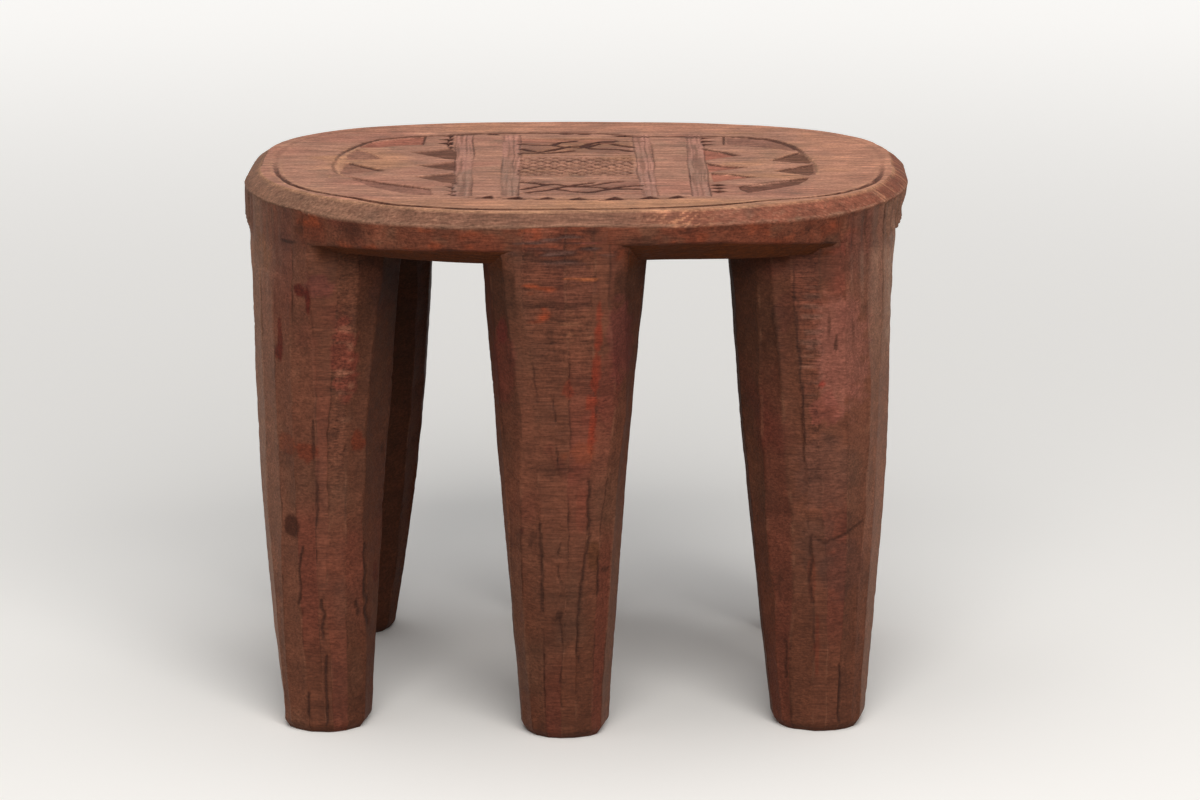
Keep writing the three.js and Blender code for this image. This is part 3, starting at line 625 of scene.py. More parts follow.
def carving(x, y):
    """Depth of the cuts, and how dark, brown, red, worn and pink the top is at each place."""
    wx = x + 0.35 * noise(x / 9, y / 9, 0, 51) + 0.2 * noise(x / 3, y / 3, 0, 52)
    wy = y + 0.6 * noise(x / 9, y / 9, 0, 53) + 0.35 * noise(x / 3, y / 3, 0, 54)
    maps = {name: np.zeros(x.shape) for name in ("depth", "dark", "brown", "red", "worn", "pink")}

    def rise(name, height):
        """Raises a map to a height wherever it is lower."""
        maps[name] = np.maximum(maps[name], height)

    def groove(distance, half, deep, shade):
        """A V-shaped cut whose dark bottom is dirt and painted shade."""
        v = np.clip(1 - np.abs(distance) / half, 0, 1)
        rise("depth", deep * v)
        rise("dark", shade * smooth(v, 0.0, 0.4))

    # The rim groove, steep on its inner side and darkened with painted shade, and the worn ridge outside it
    angle = round_angle(x, y)
    firm = 0.14 + 0.86 * smooth(-np.sin(np.radians(angle)), -0.12, 0.35)
    half = 1.5 + 0.8 * smooth(45 - np.abs(angle + 95), 0, 15)
    rim = groove_inset(angle) - half - inset_at(x, y)
    rim = rim + 0.35 * noise(x / 25, y / 25, 0, 55) + 0.3 * noise(x / 6, y / 6, 0, 56)
    across = rim / half
    v = np.clip((across + 1) / 0.35, 0, 1) * np.clip((1 - across) / 1.2, 0, 1)
    rise("depth", 0.85 * half * firm * v)
    shade = smooth(across, -1.3, -1.0) * (1 - smooth(across, 0.2, 0.9))
    rise("dark", firm * shade * (0.85 + 0.15 * noise(x / 12, y / 12, 0, 63)))
    ridge = np.clip(1 - np.abs(rim - half - 0.8) / 1.1, 0, 1)
    lip = 0.8 * np.clip(1 - np.abs(rim + half + 2.0) / 1.3, 0, 1)
    rise("worn", np.maximum(ridge, lip) * (0.6 + 0.4 * noise(x / 20, y / 20, 0, 64)) * (0.4 + 0.6 * firm))

    # The oval line
    oval = line_distance(wx, wy, OVAL_CUT)
    back = smooth(wy, 10, 60)
    groove(oval, 1.2 + 0.9 * back, 0.5 + 0.6 * back, 0.45 + 0.4 * back)
    for points in SCRATCHES:
        scratch = np.clip(1 - line_distance(wx, wy, points) / 1.3, 0, 1)
        rise("worn", scratch * 0.8)
        rise("depth", 0.4 * scratch)
    border = line_distance(wx, wy, BACK_BORDER) + 1.5 * noise(x / 7, y / 3, 0, 65)
    rise("dark", 0.5 * smooth(4.5 - border, 0, 3.5))

    # Bands: pale ragged strips of upright cuts between broken lines
    share = (wy - 97) / (-101 - 97)
    limit = smooth(97 - wy, 0, 2) * smooth(wy + 100, 0, 3)
    for number, ((left_back, right_back), (left_front, right_front)) in enumerate(BANDS):
        wobble = 0.5 * noise(y / 30, number, 0, 57) + 0.12 * noise(y / 4, number, 0, 66)
        left = left_back + (left_front - left_back) * share + wobble
        width = (right_back - left_back) * (1 - share) + (right_front - left_front) * share
        place = (x - left) / width
        strip = smooth(place, -0.08, 0.08) * smooth(1 - place, -0.08, 0.08) * limit
        cuts = noise(place * 9 + 0.8 * noise(y / 20, number, 0, 69), y / 45, number, 58)
        rise("pink", strip * (0.6 + 0.35 * cuts))
        rise("dark", strip * 0.42 * smooth(-cuts, 0.1, 0.7))
        rise("depth", strip * (0.35 - 0.3 * cuts))
        for k, at in enumerate((0.0, 0.33, 0.64, 1.0)):
            off = (place - at) * width + 0.6 * noise(y / 26, number * 4 + k, 0, 67)
            steady = 0.55 + 0.45 * noise(y / 40, number * 4 + k, 0, 60)
            line = np.clip(1 - np.abs(off) / 0.65, 0, 1) * limit
            rise("depth", 0.8 * line * steady)
            rise("dark", (0.9, 0.5, 0.65, 0.8)[k] * steady * smooth(line, 0.0, 0.6))

    # Sunk fields, hatched
    for corners, kind, deep in FIELDS:
        d = polygon_distance(wx, wy, corners)
        v = smooth(-d, -0.1, 0.9)
        hatch = np.sin(y * 2 * math.pi / 2.3 + x * 0.12 + 1.5 * noise(x / 8, y / 8, 0, 59))
        rise("depth", v * deep * (0.8 + 0.2 * hatch))
        even, hatched = FIELD_TONES[kind]
        rise(kind, v * (even + hatched * hatch))
    for start, stop, half_width in DEEP_EDGES:
        groove(line_distance(wx, wy, [start, stop]), half_width * 0.85, 1.2, 0.85)
    # Chips, sunk and darkened with painted shadow in their pockets
    for corners in CHIPS:
        d = polygon_distance(wx, wy, corners)
        rise("depth", 2.2 * smooth(-d, -0.4, 2.0))
        rise("dark", 1.25 * smooth(-d, -1.3, 0.6))
    groove(line_distance(wx, wy, CHIP_LINE), 1.2, 0.8, 0.6)

    # The middle panel
    wy = wy - 2.4
    for points in ZIGZAGS:
        thick = 2.4 + 0.5 * noise(x / 11, y / 11, 0, 89) + 0.4 * (y > 20)
        groove(line_distance(wx, wy, points), thick, 1.3, 1.0)
    for start, stop, half_width, shade in PANEL_LINES:
        groove(line_distance(wx, wy, [start, stop]), half_width, 1.1, shade)
    lattice = smooth(33.5 - np.abs(wx), 0, 1) * smooth(19 - wy, 0, 1) * smooth(wy + 39, 0, 1)
    wavy = wy + 1.6 * noise(x / 10, y / 10, 0, 90)
    p = (wx / 8.2 + wavy / 10.4) % 1.0
    q = (wx / 8.2 - wavy / 10.4) % 1.0
    cut = np.minimum(np.minimum(p, 1 - p), np.minimum(q, 1 - q)) * 6.4
    v = np.clip(1 - cut / 1.3, 0, 1) * lattice
    rise("depth", 1.3 * v)
    firmness = 0.84 + 0.42 * noise(x / 8, y / 3, 0, 97)
    # The lattice's cuts are darkened with dirt and painted shade
    rise("dark", np.maximum(firmness * smooth(v, 0.0, 0.7), 0.2 * lattice))
    rise("worn", 0.6 * lattice * smooth(cut, 1.7, 2.6))
    for low, high, left, right, strength in ((-97, -52, -29, 38, 0.42), (30, 74, -34, 31, 0.55)):
        panel = smooth(wy - low, 0, 2) * smooth(high - wy, 0, 2) * smooth(wx - left, 0, 2) * smooth(right - wx, 0, 2)
        rise("dark", strength * panel * (0.6 + 0.4 * noise(x / 9, y / 2.4, 0, 68)))
    strip = smooth(30 - np.abs(wx + 8), 0, 1.5) * smooth(80 - wy, 0, 1) * smooth(wy - 66, 0, 2)
    rise("depth", 0.5 * strip)
    rise("red", 0.5 * strip)
    return tuple(maps.values())


# ---- the seat's mesh


def spaced(half, density):
    """Places from -half to half whose spacing follows a function of the place."""
    places = [0.0]
    while places[-1] < half:
        places.append(places[-1] + density(places[-1]))
    places = np.array(places) * (half / places[-1])
    return np.r_[-places[:0:-1], places]


def seat_point(dx, dy, inset):
    """Point on the outline drawn in by an inset, in a direction of the square."""
    n = exponent_at(dx, dy)
    s = (np.abs(dx) ** n + np.abs(dy) ** n) ** (-1 / n)
    x, y = (HALF_WIDTH - inset) * dx * s, (HALF_DEPTH - inset) * dy * s
    f = unevenness(x, y)
    wide, deep = HALF_WIDTH - inset, HALF_DEPTH - inset
    return np.clip(x * f, -wide, wide), np.clip(y * f, -deep, deep)


# The rows of each kind of place on the rim and the wall: how rough they are, and which colours they take
ROUGHNESS = {"ridge": 0.15, "bevel": 0.4, "edge": 0.2, "band": 0.4, "low": 0.3, "slope": 0.6, "belly": 0.3}
TOP_KIND, BEVEL_KIND, SIDE_KIND, UNDER_KIND = range(4)
KINDS = {"ridge": BEVEL_KIND, "bevel": BEVEL_KIND, "edge": BEVEL_KIND, "band": SIDE_KIND, "low": SIDE_KIND,
         "slope": UNDER_KIND, "belly": UNDER_KIND}
BEVEL_TOP = 303.1  # height of the bevel's upper edge
RIM = 9.5  # about the bevel's width, by which the top's grid is smaller than the seat
TUCK = 1.7  # how far the wall draws back behind a leg's upper end


def build_seat(material):
    """The seat: a grid for the carved top, rings down the rim and the wall, and rings to the underside's middle."""
    xs = spaced(HALF_WIDTH - RIM, lambda p: 0.62 if 28 < p < 80 else (0.8 if p < 142 else 0.95))
    ys = spaced(HALF_DEPTH - RIM, lambda p: 0.8 if p < 112 else 0.6)
    nx, ny = len(xs), len(ys)
    u, v = np.meshgrid(xs / xs[-1], ys / ys[-1])
    u[ny // 2, nx // 2] = 1e-6  # the middle itself has no direction
    m = np.maximum(np.maximum(np.abs(u), np.abs(v)), 1e-9)
    dx, dy = u / m, v / m
    n = exponent_at(u, v)
    w = smooth(m, 0.55, 1.0)
    n = 1 / ((1 - w) / 40 + w / n)
    s = (np.abs(dx) ** n + np.abs(dy) ** n) ** (-1 / n)
    inner = bevel_width(np.degrees(np.arctan2(dy, dx))) + 1.0
    x, y = m * (HALF_WIDTH - inner) * dx * s, m * (HALF_DEPTH - inner) * dy * s
    f = 1 + (unevenness(x, y) - 1) * w
    x, y = x * f, y * f
    depth, *shades = carving(x, y)
    wave = 0.35 * (0.5 + 0.5 * fbm(x / 70, y / 45, 0, 61, 2)) + 0.1 * (0.5 + 0.5 * noise(x / 14, y / 5, 0, 62))
    z = HEIGHT - wave * smooth(1 - m, 0, 0.1) - depth

    # The grid's border, anticlockwise from its front left corner
    index = np.arange(nx * ny).reshape(ny, nx)
    border = np.r_[index[0, :-1], index[:-1, -1], index[-1, :0:-1], index[:0:-1, 0]]
    bx, by = dx.ravel()[border], dy.ravel()[border]
    angle = round_angle(x.ravel()[border], y.ravel()[border])
    s_round = run_round(angle)
    points = [np.stack([x.ravel(), y.ravel(), z.ravel()], -1)]
    faces = [np.stack([index[:-1, :-1], index[:-1, 1:], index[1:, 1:], index[1:, :-1]], -1).reshape(-1, 4)]

    edge = edge_height(angle)
    low = band_low(angle)
    tuck_at = covered(*seat_point(bx, by, 1.0))
    ridge = 0.45 * ridged(s_round, 71, 19) + 0.2 * ridged(s_round, 72, 6)
    rows = []
    width = bevel_width(np.degrees(np.arctan2(by, bx)))
    for extra, level in ((0.45, 303.95), (0.0, 303.7), (-0.5, BEVEL_TOP)):
        rows.append((width + extra + ridge, np.full(len(border), level), "ridge"))
    bulge = 1.0 * np.exp(-(angle / 32.0) ** 2) + 1.5 * np.exp(-((180 - np.abs(angle)) / 36.0) ** 2)
    for k in range(1, 9):
        t = k / 8
        inset = (width - 0.5 + ridge) * (1 - t) + 0.6 * t - 4 * bulge * t * (1 - t)
        level = BEVEL_TOP * (1 - t) + (edge + 0.6) * t
        rows.append((inset, level, "bevel"))
    rows.append((np.full(len(border), 0.25), edge + 0.2, "edge"))
    rows.append((np.full(len(border), 0.05), edge - 0.25, "edge"))
    for k in range(1, 11):
        t = k / 10
        level = (edge - 0.6) * (1 - t) + (low + 0.6) * t
        tuck = TUCK * tuck_at * smooth(t, -0.05, 0.1)
        rows.append((wall_inset(angle, level) + tuck + 0.05, level, "band"))
    last = wall_inset(angle, low) + TUCK * tuck_at
    rows.append((last + 0.45, low, "low"))
    rows.append((last + 1.3, low - 0.45, "low"))
    slope = slope_width(angle)
    for k in range(1, 13):
        t = k / 12
        rows.append((last + 1.3 + slope * t, (low - 0.45) * (1 - t) + 273.5 * t, "slope"))
    rows.append((last + slope + 3.5, np.full(len(border), BELLY), "belly"))
    rows.append((last + slope + 7.5, np.full(len(border), 273.05), "belly"))

    ring = border
    kinds = [np.full(nx * ny, TOP_KIND)]
    count = nx * ny

    def add_ring(px, py, level, kind):
        nonlocal ring, count
        here = np.arange(count, count + len(border))
        points.append(np.stack([px, py, level + 0 * px], -1))
        kinds.append(np.full(len(border), kind))
        faces.append(ring_quads(here, ring))
        ring = here
        count += len(border)

    for inset, level, kind in rows:
        rough = ROUGHNESS[kind]
        px, py = seat_point(bx, by, np.maximum(inset, 0.0))
        push = rough * 0.6 * noise(s_round / 17, level / 9, 0, 73) + rough * 0.4 * fbm(px / 5, py / 5, level / 4, 74, 2)
        if kind in ("bevel", "band"):
            push -= rough * 0.6 * np.abs(ridged(s_round + 40 * (kind == "band"), 75, 13))
        push = np.minimum(push, inset * 0.9)
        add_ring(*seat_point(bx, by, np.maximum(inset - push, 0.0)), level, KINDS[kind])

    # The underside, in rings towards the middle
    base = points[-1][:, :2]
    for share in (0.93, 0.8, 0.62, 0.42, 0.2):
        px, py = base[:, 0] * share, base[:, 1] * share
        add_ring(px, py, BELLY + 0.35 * fbm(px / 22, py / 22, 0, 76, 2), UNDER_KIND)
    points.append(np.array([[0.0, 0.0, BELLY]]))
    kinds.append(np.array([UNDER_KIND]))
    faces.append(np.stack([ring, np.full(len(ring), count), np.roll(ring, -1)], -1))

    points = np.concatenate(points)
    kinds = np.concatenate(kinds)
    tint = seat_tint(points, kinds, *shades)
    return make_piece("carved_seat", points, faces, tint, np.ones(len(points)), "seat", material)


# Colours of the top and the bevel
TOP = rgb(170, 122, 101)
TOP_TAN = rgb(184, 132, 98)
TOP_PINK = rgb(164, 110, 92)
TOP_GREY = rgb(148, 112, 92)
TOP_LIGHT = rgb(186, 129, 103)
CUT = rgb(70, 40, 32)
BAND_PINK = rgb(180, 128, 112)
BAND_ASH = rgb(150, 116, 100)
FIELD_BROWN = rgb(133, 92, 79)
FIELD_RED = rgb(160, 98, 81)
WORN = rgb(196, 145, 112)
BEVEL = rgb(124, 86, 69)
BEVEL_RED = rgb(134, 74, 56)
BEVEL_GREY = rgb(104, 77, 64)
BEVEL_PALE = rgb(150, 112, 90)
FLAKE = rgb(206, 140, 104)


def seat_tint(points, kinds, dark, brown, red, worn, pink):
    """Colours of the seat's points: the carved top, the bevel, the wall and the underside."""
    x, y, z = points.T
    tint = side_tint(x, y, z)
    # The underside takes the painted shade colour
    under = kinds == UNDER_KIND
    mottled = 1 + 0.18 * fbm(x[under] / 30, y[under] / 6, z[under] / 6, 88)
    tint[under] = blend(tint[under], SHADED_UNDERSIDE * mottled[:, None], np.full(under.sum(), 0.88))
    top = kinds == TOP_KIND
    tx, ty = x[top], y[top]
    wide = fbm(tx / 60, ty / 40, 0, 81)
    streak = fbm(tx / 45, ty / 5, 0, 82)
    fibre = noise(tx / 24, ty / 2.2, 0, 86)
    patch = fbm(tx / 16, ty / 12, 0, 83)
    c = np.broadcast_to(TOP, tx.shape + (3,)).copy()
    c = blend(c, TOP_PINK, smooth(wide, 0.0, 0.5) * 0.7)
    c = blend(c, TOP_TAN, smooth(-wide, 0.05, 0.5) * 0.6)
    c = blend(c, TOP_GREY, smooth(patch, 0.15, 0.7) * 0.6)
    c = blend(c, TOP_LIGHT, np.maximum(smooth(tx, 110, 160), smooth(ty, 95, 120)) * 0.55)
    c = blend(c, TOP_TAN, smooth(-ty, 100, 118) * 0.45)
    c = c * (1 + 0.2 * streak + 0.11 * fibre + 0.1 * noise(tx / 16, ty / 3.6, 0, 93))[:, None]
    c = blend(c, WORN, worn.ravel() * 0.9)
    ashen = smooth(noise(tx / 14, ty / 32, 0, 94) - ty / 160, -0.2, 0.5)
    c = blend(c, blend(BAND_PINK, BAND_ASH, ashen), pink.ravel())
    c = blend(c, FIELD_BROWN, brown.ravel())
    c = blend(c, FIELD_RED, red.ravel())
    c = blend(c, CUT, dark.ravel())
    tint[top] = c

    # The bevel: paler towards its upper edge, redder to the right, stained grey in places
    side = kinds == BEVEL_KIND
    bx, by, bz = x[side], y[side], z[side]
    blotch = fbm(bx / 22, by / 22, bz / 12, 84)
    fine = fbm(bx / 5, by / 5, bz / 2.5, 85)
    scuff = noise((bx + 2 * bz) / 5, (bx - 2 * bz) / 1.4, by / 6, 87)
    b = np.broadcast_to(BEVEL, bx.shape + (3,)).copy()
    b = blend(b, BEVEL_RED, smooth(bx + 40 * blotch, 10, 90) * 0.7)
    b = blend(b, BEVEL_GREY, smooth(blotch, 0.1, 0.6) * 0.6)
    b = blend(b, BEVEL_PALE, smooth(scuff, 0.15, 0.7) * 0.28)
    b = blend(b, BEVEL_PALE, smooth(-bx, 80, 140) * 0.4)
    b = blend(b, CUT, smooth(fine, 0.15, 0.7) * 0.5)
    b = b * (1 + 0.2 * fine)[:, None]
    turn = round_angle(bx, by)
    knife = noise(turn * 1.35 + bz / 5, bz / 14, 0, 95) * smooth(34 - np.abs(turn + 8), 0, 12)
    b = blend(b, WORN, smooth(knife, 0.25, 0.8) * 0.45)
    b = blend(b, CUT, smooth(-knife, 0.3, 0.8) * 0.5)
    flake = np.exp(-(((bx - 60) / 13) ** 2 + ((by + 141) / 9) ** 2))
    b = blend(b, FLAKE, flake * smooth(scuff + 0.4 * fine, -0.1, 0.5) * 0.8)
    b = blend(b, WORN, smooth(bz, 302.6, 303.5) * (0.5 + 0.4 * blotch))
    edge_near = np.abs(bz - edge_height(round_angle(bx, by)) - 0.3)
    b = blend(b, BEVEL_PALE, smooth(1.0 - edge_near, 0, 0.8) * np.clip(0.3 + 0.7 * fine, 0, 1))
    tint[side] = b
    return tint


# ---- the legs' meshes


WALL_GAP = 0.3  # how far a leg's upper end stays inside the seat's wall
COLUMN = 1.15  # width of a facet's columns
FREE_BELOW = 255  # up to this height a leg may stand out of the wall
STRETCHED_FROM = 288.0  # the rows above this height end at the bevel's lower edge
SPINE = [(-9, 200), (-6, 150), (-7, 90), (-6, 20)]  # the ragged split down the front middle leg


def inside_wall(p, level):
    """Points drawn in to the seat's wall where they lie outside it."""
    inset = wall_inset(round_angle(p[..., 0], p[..., 1]), np.maximum(level, UNDERSIDE)) + WALL_GAP
    return p / np.maximum(reach(p[..., 0], p[..., 1], inset), 1.0)[..., None]


def build_leg(leg, material):
    """A leg: rings of points from the foot to the bevel's lower edge, through the corners between its facets."""
    node, seed = leg["name"], leg["seed"]
    ridges = [np.broadcast_to(r, len(EDGE_LEVELS)) for r in leg["ridges"]]
    count = len(ridges)

    # Columns of each facet, from its width at the top
    corners = section(leg["top"], np.array([r[-1] for r in ridges]))
    widths = np.hypot(*(np.roll(corners, -1, 0) - corners).T)
    columns = np.maximum((widths / COLUMN).astype(int), 6)
    facet = np.repeat(np.arange(count), columns)
    share = np.concatenate([np.arange(k) / k for k in columns])
    total = len(facet)

    levels = np.r_[0.0, 0.5, 1.1, 1.9, 2.9, 4.0, 5.2, np.arange(6.6, 260, 1.45), np.arange(260.5, STRETCHED_FROM, 0.95)]
    levels = np.r_[levels, np.linspace(levels[-1] + 1.0, EDGE_Z - WALL_GAP, 8)]
    z = levels[:, None] + np.zeros(total)[None, :]
    t = np.clip(z / UNDERSIDE, 0, 1)
    widened = t + 4 * leg["bulge"] * t * (1 - t)

    # Where each facet's edges run at each level
    k = np.arange(count)[None, :]
    zk = levels[:, None]
    wander = 0.004 * noise(zk / 75, k * 7.3, 0, seed) + 0.004 * noise(zk / 24, k * 7.3, 0, seed + 1)
    wander += 0.0018 * noise(zk / 5, k * 7.3, 0, seed + 2)
    turn = np.stack([np.interp(levels, EDGE_LEVELS, r) for r in ridges], -1) + wander
    following = (facet + 1) % count
    f = share[None, :, None]

    def across(corner):
        """Points along the straight facets between the corners of each ring."""
        return corner[:, facet] * (1 - f) + corner[:, following] * f

    # Towards the seat the straight facets give way to the wall's own curve
    top_corner = section(leg["top"], turn)
    follow = smooth(z, 215, 285)[..., None]
    top_p = across(inside_wall(top_corner, zk + 0 * turn)) * (1 - follow) + inside_wall(across(top_corner), z) * follow
    p = across(section(leg["foot"], turn)) * (1 - widened[..., None]) + top_p * widened[..., None]
    p[..., 0] += leg["bow"] * 4 * t * (1 - t)

    # Outward direction of each section point
    along = np.roll(p, -1, 1) - np.roll(p, 1, 1)
    outward = np.stack([along[..., 1], -along[..., 0]], -1)
    outward /= np.maximum(np.linalg.norm(outward, axis=-1, keepdims=True), 1e-9)
    front, not_back = outward[..., 1] < 0, outward[..., 1] < 0.1

    def by_facet(length, spread, number):
        """Noise along each facet, of its own for each one."""
        return noise(z / length, facet * spread, 0, seed + number)

    # Adze work: hollow facets, steps between neighbours, dips along each facet
    body = smooth(z, 3, 12)
    s = share[None, :]
    hollow = 0.25 + 0.25 * by_facet(60, 3.7, 3)
    push = -hollow * 4 * s * (1 - s)
    push += 0.4 * by_facet(42, 5.1, 4) + 0.22 * by_facet(13, 5.1, 5)
    edge_distance = np.minimum(share, 1 - share) * widths[facet]
    near = np.exp(-edge_distance / 1.2)[None, :]
    soften = smooth(by_facet(30, 1.9, 6), -0.4, 0.6)
    push -= 0.3 * near * soften
    step = smooth(by_facet(45, 2.9, 19), -0.1, 0.6) * np.exp(-share * widths[facet] / 3.0)[None, :]
    push -= 0.6 * step
    x3, y3 = p[..., 0], p[..., 1]
    push += 0.16 * fbm(x3 / 6, y3 / 6, z / 3.2, seed + 7)
    tear = smooth(fbm(x3 / 30, y3 / 30, z / 40, seed + 8, 2), -0.1, 0.4) * (0.35 + 0.65 * smooth(z, 120, 260))
    push -= 0.3 * tear * smooth(noise(x3 / 9, y3 / 9, z / 1.7, seed + 9), 0.1, 0.9)

    # Chips and splits that follow some edges
    ragged = smooth(by_facet(22, 2.3, 10), 0.1, 0.7) * near
    chips = ragged * smooth(by_facet(4.5, 8.1, 11), 0.0, 0.7)
    push -= 0.7 * chips
    crack_line = np.zeros_like(z)
    for half_width, places in CRACKS.get(node, ()):
        jagged = x3 + 0.8 * noise(z / 4, 3 * half_width, 0, seed + 12)
        near_crack = np.clip(1.3 - line_distance(jagged, z, places) / half_width, 0, 1)
        crack_line = np.maximum(crack_line, near_crack * front)
    if node == "leg_front_middle":
        wobble = x3 + 1.6 * noise(z / 9, 0, 0, seed + 12)
        spine = line_distance(wobble, z, SPINE)
        rough = np.exp(-(spine / 4.0) ** 2) * (outward[..., 1] < -0.3)
        push += rough * 0.55 * noise(x3 / 2.4, 0, z / 3.4, seed + 13)
        split = np.clip(1 - spine / 0.8, 0, 1) * front
        crack_line = np.maximum(crack_line, split * smooth(noise(z / 7, 0, 0, seed + 14), -0.1, 0.4))
    push -= 0.6 * crack_line

    # The fillet under the seat, and the foot's rounded edge
    gap = underside_height(x3, y3) - z
    fillet = 1.1 * np.exp(-np.clip(gap, 0, 40) / 1.0) * (gap < 60)
    push = push * body + fillet
    chamfer = 3.4 * (1 - smooth(z, -1.5, 5.5)) + 0.5 * (1 - smooth(z, 0, 8)) * noise(x3 / 9, y3 / 9, 0, seed + 15)
    push -= chamfer
    p = p + outward * push[..., None]
    p = np.where((z > FREE_BELOW)[..., None], inside_wall(p, z), p)

    # The upper rows follow the bevel's lower edge
    angle = round_angle(p[..., 0], p[..., 1])
    rise = (edge_height(angle) - WALL_GAP - STRETCHED_FROM) / (EDGE_Z - WALL_GAP - STRETCHED_FROM)
    z = np.where(z > STRETCHED_FROM, STRETCHED_FROM + (z - STRETCHED_FROM) * rise, z)

    rows = len(levels)
    grid = np.arange(rows * total).reshape(rows, total)
    points = np.stack([p[..., 0].ravel(), p[..., 1].ravel(), z.ravel()], -1)
    faces = [ring_quads(grid[r], grid[r + 1]) for r in range(rows - 1)]
    first, last = grid[0], grid[-1]
    faces.append(np.stack([np.full(total, len(points)), np.roll(first, -1), first], -1))
    faces.append(np.stack([np.full(total, len(points) + 1), last, np.roll(last, -1)], -1))
    ends = [[*p[row].mean(0), height] for row, height in ((0, 0.0), (-1, EDGE_Z - 1.5))]
    points = np.concatenate([points, ends])

    # Colour: painted shade on the sides that face the stool's middle, and on the outward sides a pale grey that is
    # partly wear and partly painted sheen
    tint = side_tint(*points.T)
    c = tint[: rows * total].reshape(rows, total, 3)
    if node.endswith("middle"):
        inward = np.abs(outward[..., 0])
        outside = 0.3 * smooth(inward, 0.7, 1.0) * smooth(170 - z, 0, 90)
        deepest = smooth(z, 150, 262) * 0.6
    else:
        inward = -np.sign(leg["top"][0]) * outward[..., 0]
        low_wear_and_sheen, high_wear_and_sheen = leg["wear_and_sheen"]
        outside = 0.08 * smooth(-inward, 0.3, 0.8) + 0.66 * smooth(-inward, 0.75, 0.97)
        outside = outside * (low_wear_and_sheen + (high_wear_and_sheen - low_wear_and_sheen) * smooth(z, 180, 250))
        deepest = 0.2 + 0.44 * smooth(z, 60, 250)
    below = 1 - smooth(z, 266, 276)
    shaded = smooth(inward, -0.1, 0.6) * deepest * below
    c = blend(c, WORN_AND_SHEEN_GREY, outside * below)
    c = blend(c, SHADED, shaded)
    tone = 0.12 * by_facet(120, 4.3, 16)
    c = c * (leg.get("shade", 1.0) * (1 + tone))[..., None]
    facet_red = smooth(by_facet(90, 6.7, 17), 0.1, 0.8)
    c = blend(c, WINE, facet_red * 0.3 * (1 - shaded) * (1 - outside))
    crease = np.exp(-((edge_distance / 0.8) ** 2))[None, :]
    c = blend(c, PALE, crease * smooth(by_facet(9, 9.1, 18), 0.1, 0.7) * 0.22)
    c = blend(c, DARK, crease * smooth(by_facet(26, 3.3, 20), 0.0, 0.5) * 0.6)
    c = blend(c, DARK, chips * 0.8)
    c = blend(c, DARK, smooth(4 - z, 0, 4) * 0.35)
    for sx, sz, rx, rz, colour, strength, ragged_edge in STAINS.get(node, ()):
        d = np.hypot((x3 - sx) / rx, (z - sz) / rz)
        d = d + ragged_edge * 0.7 * fbm(x3 / 4.5, y3 / 9, z / 4.5, 91)
        weight = (1 - smooth(d, 0.75, 1.15)) * not_back
        c = blend(c, colour, weight * strength)
    for sx, sz, rx, rz, colour, strength, sparse in STREAKS.get(node, ()):
        d = np.hypot((x3 - sx) / rx, (z - sz) / rz)
        stroke = smooth(noise(x3 / 11, sx, z / 1.7, 92), sparse, sparse + 0.4)
        weight = (1 - smooth(d, 0.6, 1.1)) * stroke * not_back
        c = blend(c, colour, weight * strength)
    c = blend(c, DARK, crack_line * 0.9)
    tint[: rows * total] = c.reshape(-1, 3)
    grain = np.ones(len(points))
    chatter = np.isin(facet, leg.get("chatter", ())) * smooth(z, *leg.get("chatter_fade", (120, 170)))
    grain[: rows * total] = (0.85 + 0.45 * chatter).ravel()
    return make_piece("carved_" + node, points, faces, tint, grain, node, material)


# ---- the wood


def add_node(tree, kind, inputs, **settings):
    """A node's first output. Each input is a number, a vector or a colour, or another output to link."""
    node = tree.nodes.new("ShaderNode" + kind)
    for name, value in settings.items():
        setattr(node, name, value)
    for socket, value in inputs.items():
        if isinstance(value, bpy.types.NodeSocket):
            tree.links.new(value, node.inputs[socket])
        else:
            node.inputs[socket].default_value = value
    return next(out for out in node.outputs if out.enabled)


def ranged(tree, value, low, high, to_low, to_high, **settings):
    """A value carried over from one range to another."""
    numbers = {"Value": value, "From Min": low, "From Max": high, "To Min": to_low, "To Max": to_high}
    return add_node(tree, "MapRange", numbers, **settings)


def calculated(tree, operation, *values):
    """A sum that a Math node does."""
    return add_node(tree, "Math", dict(enumerate(values)), operation=operation)


def painted(name, shader_inputs):
    """A material, its node tree and its shader, with some of the shader's inputs set."""
    material = bpy.data.materials.new(name)
    material.use_nodes = True
    shader = material.node_tree.nodes["Principled BSDF"]
    for socket, value in shader_inputs.items():
        shader.inputs[socket].default_value = value
    return material, material.node_tree, shader


def object_place(tree):
    """A point's place in its object's own frame."""
    return tree.nodes.new("ShaderNodeTexCoord").outputs["Object"]


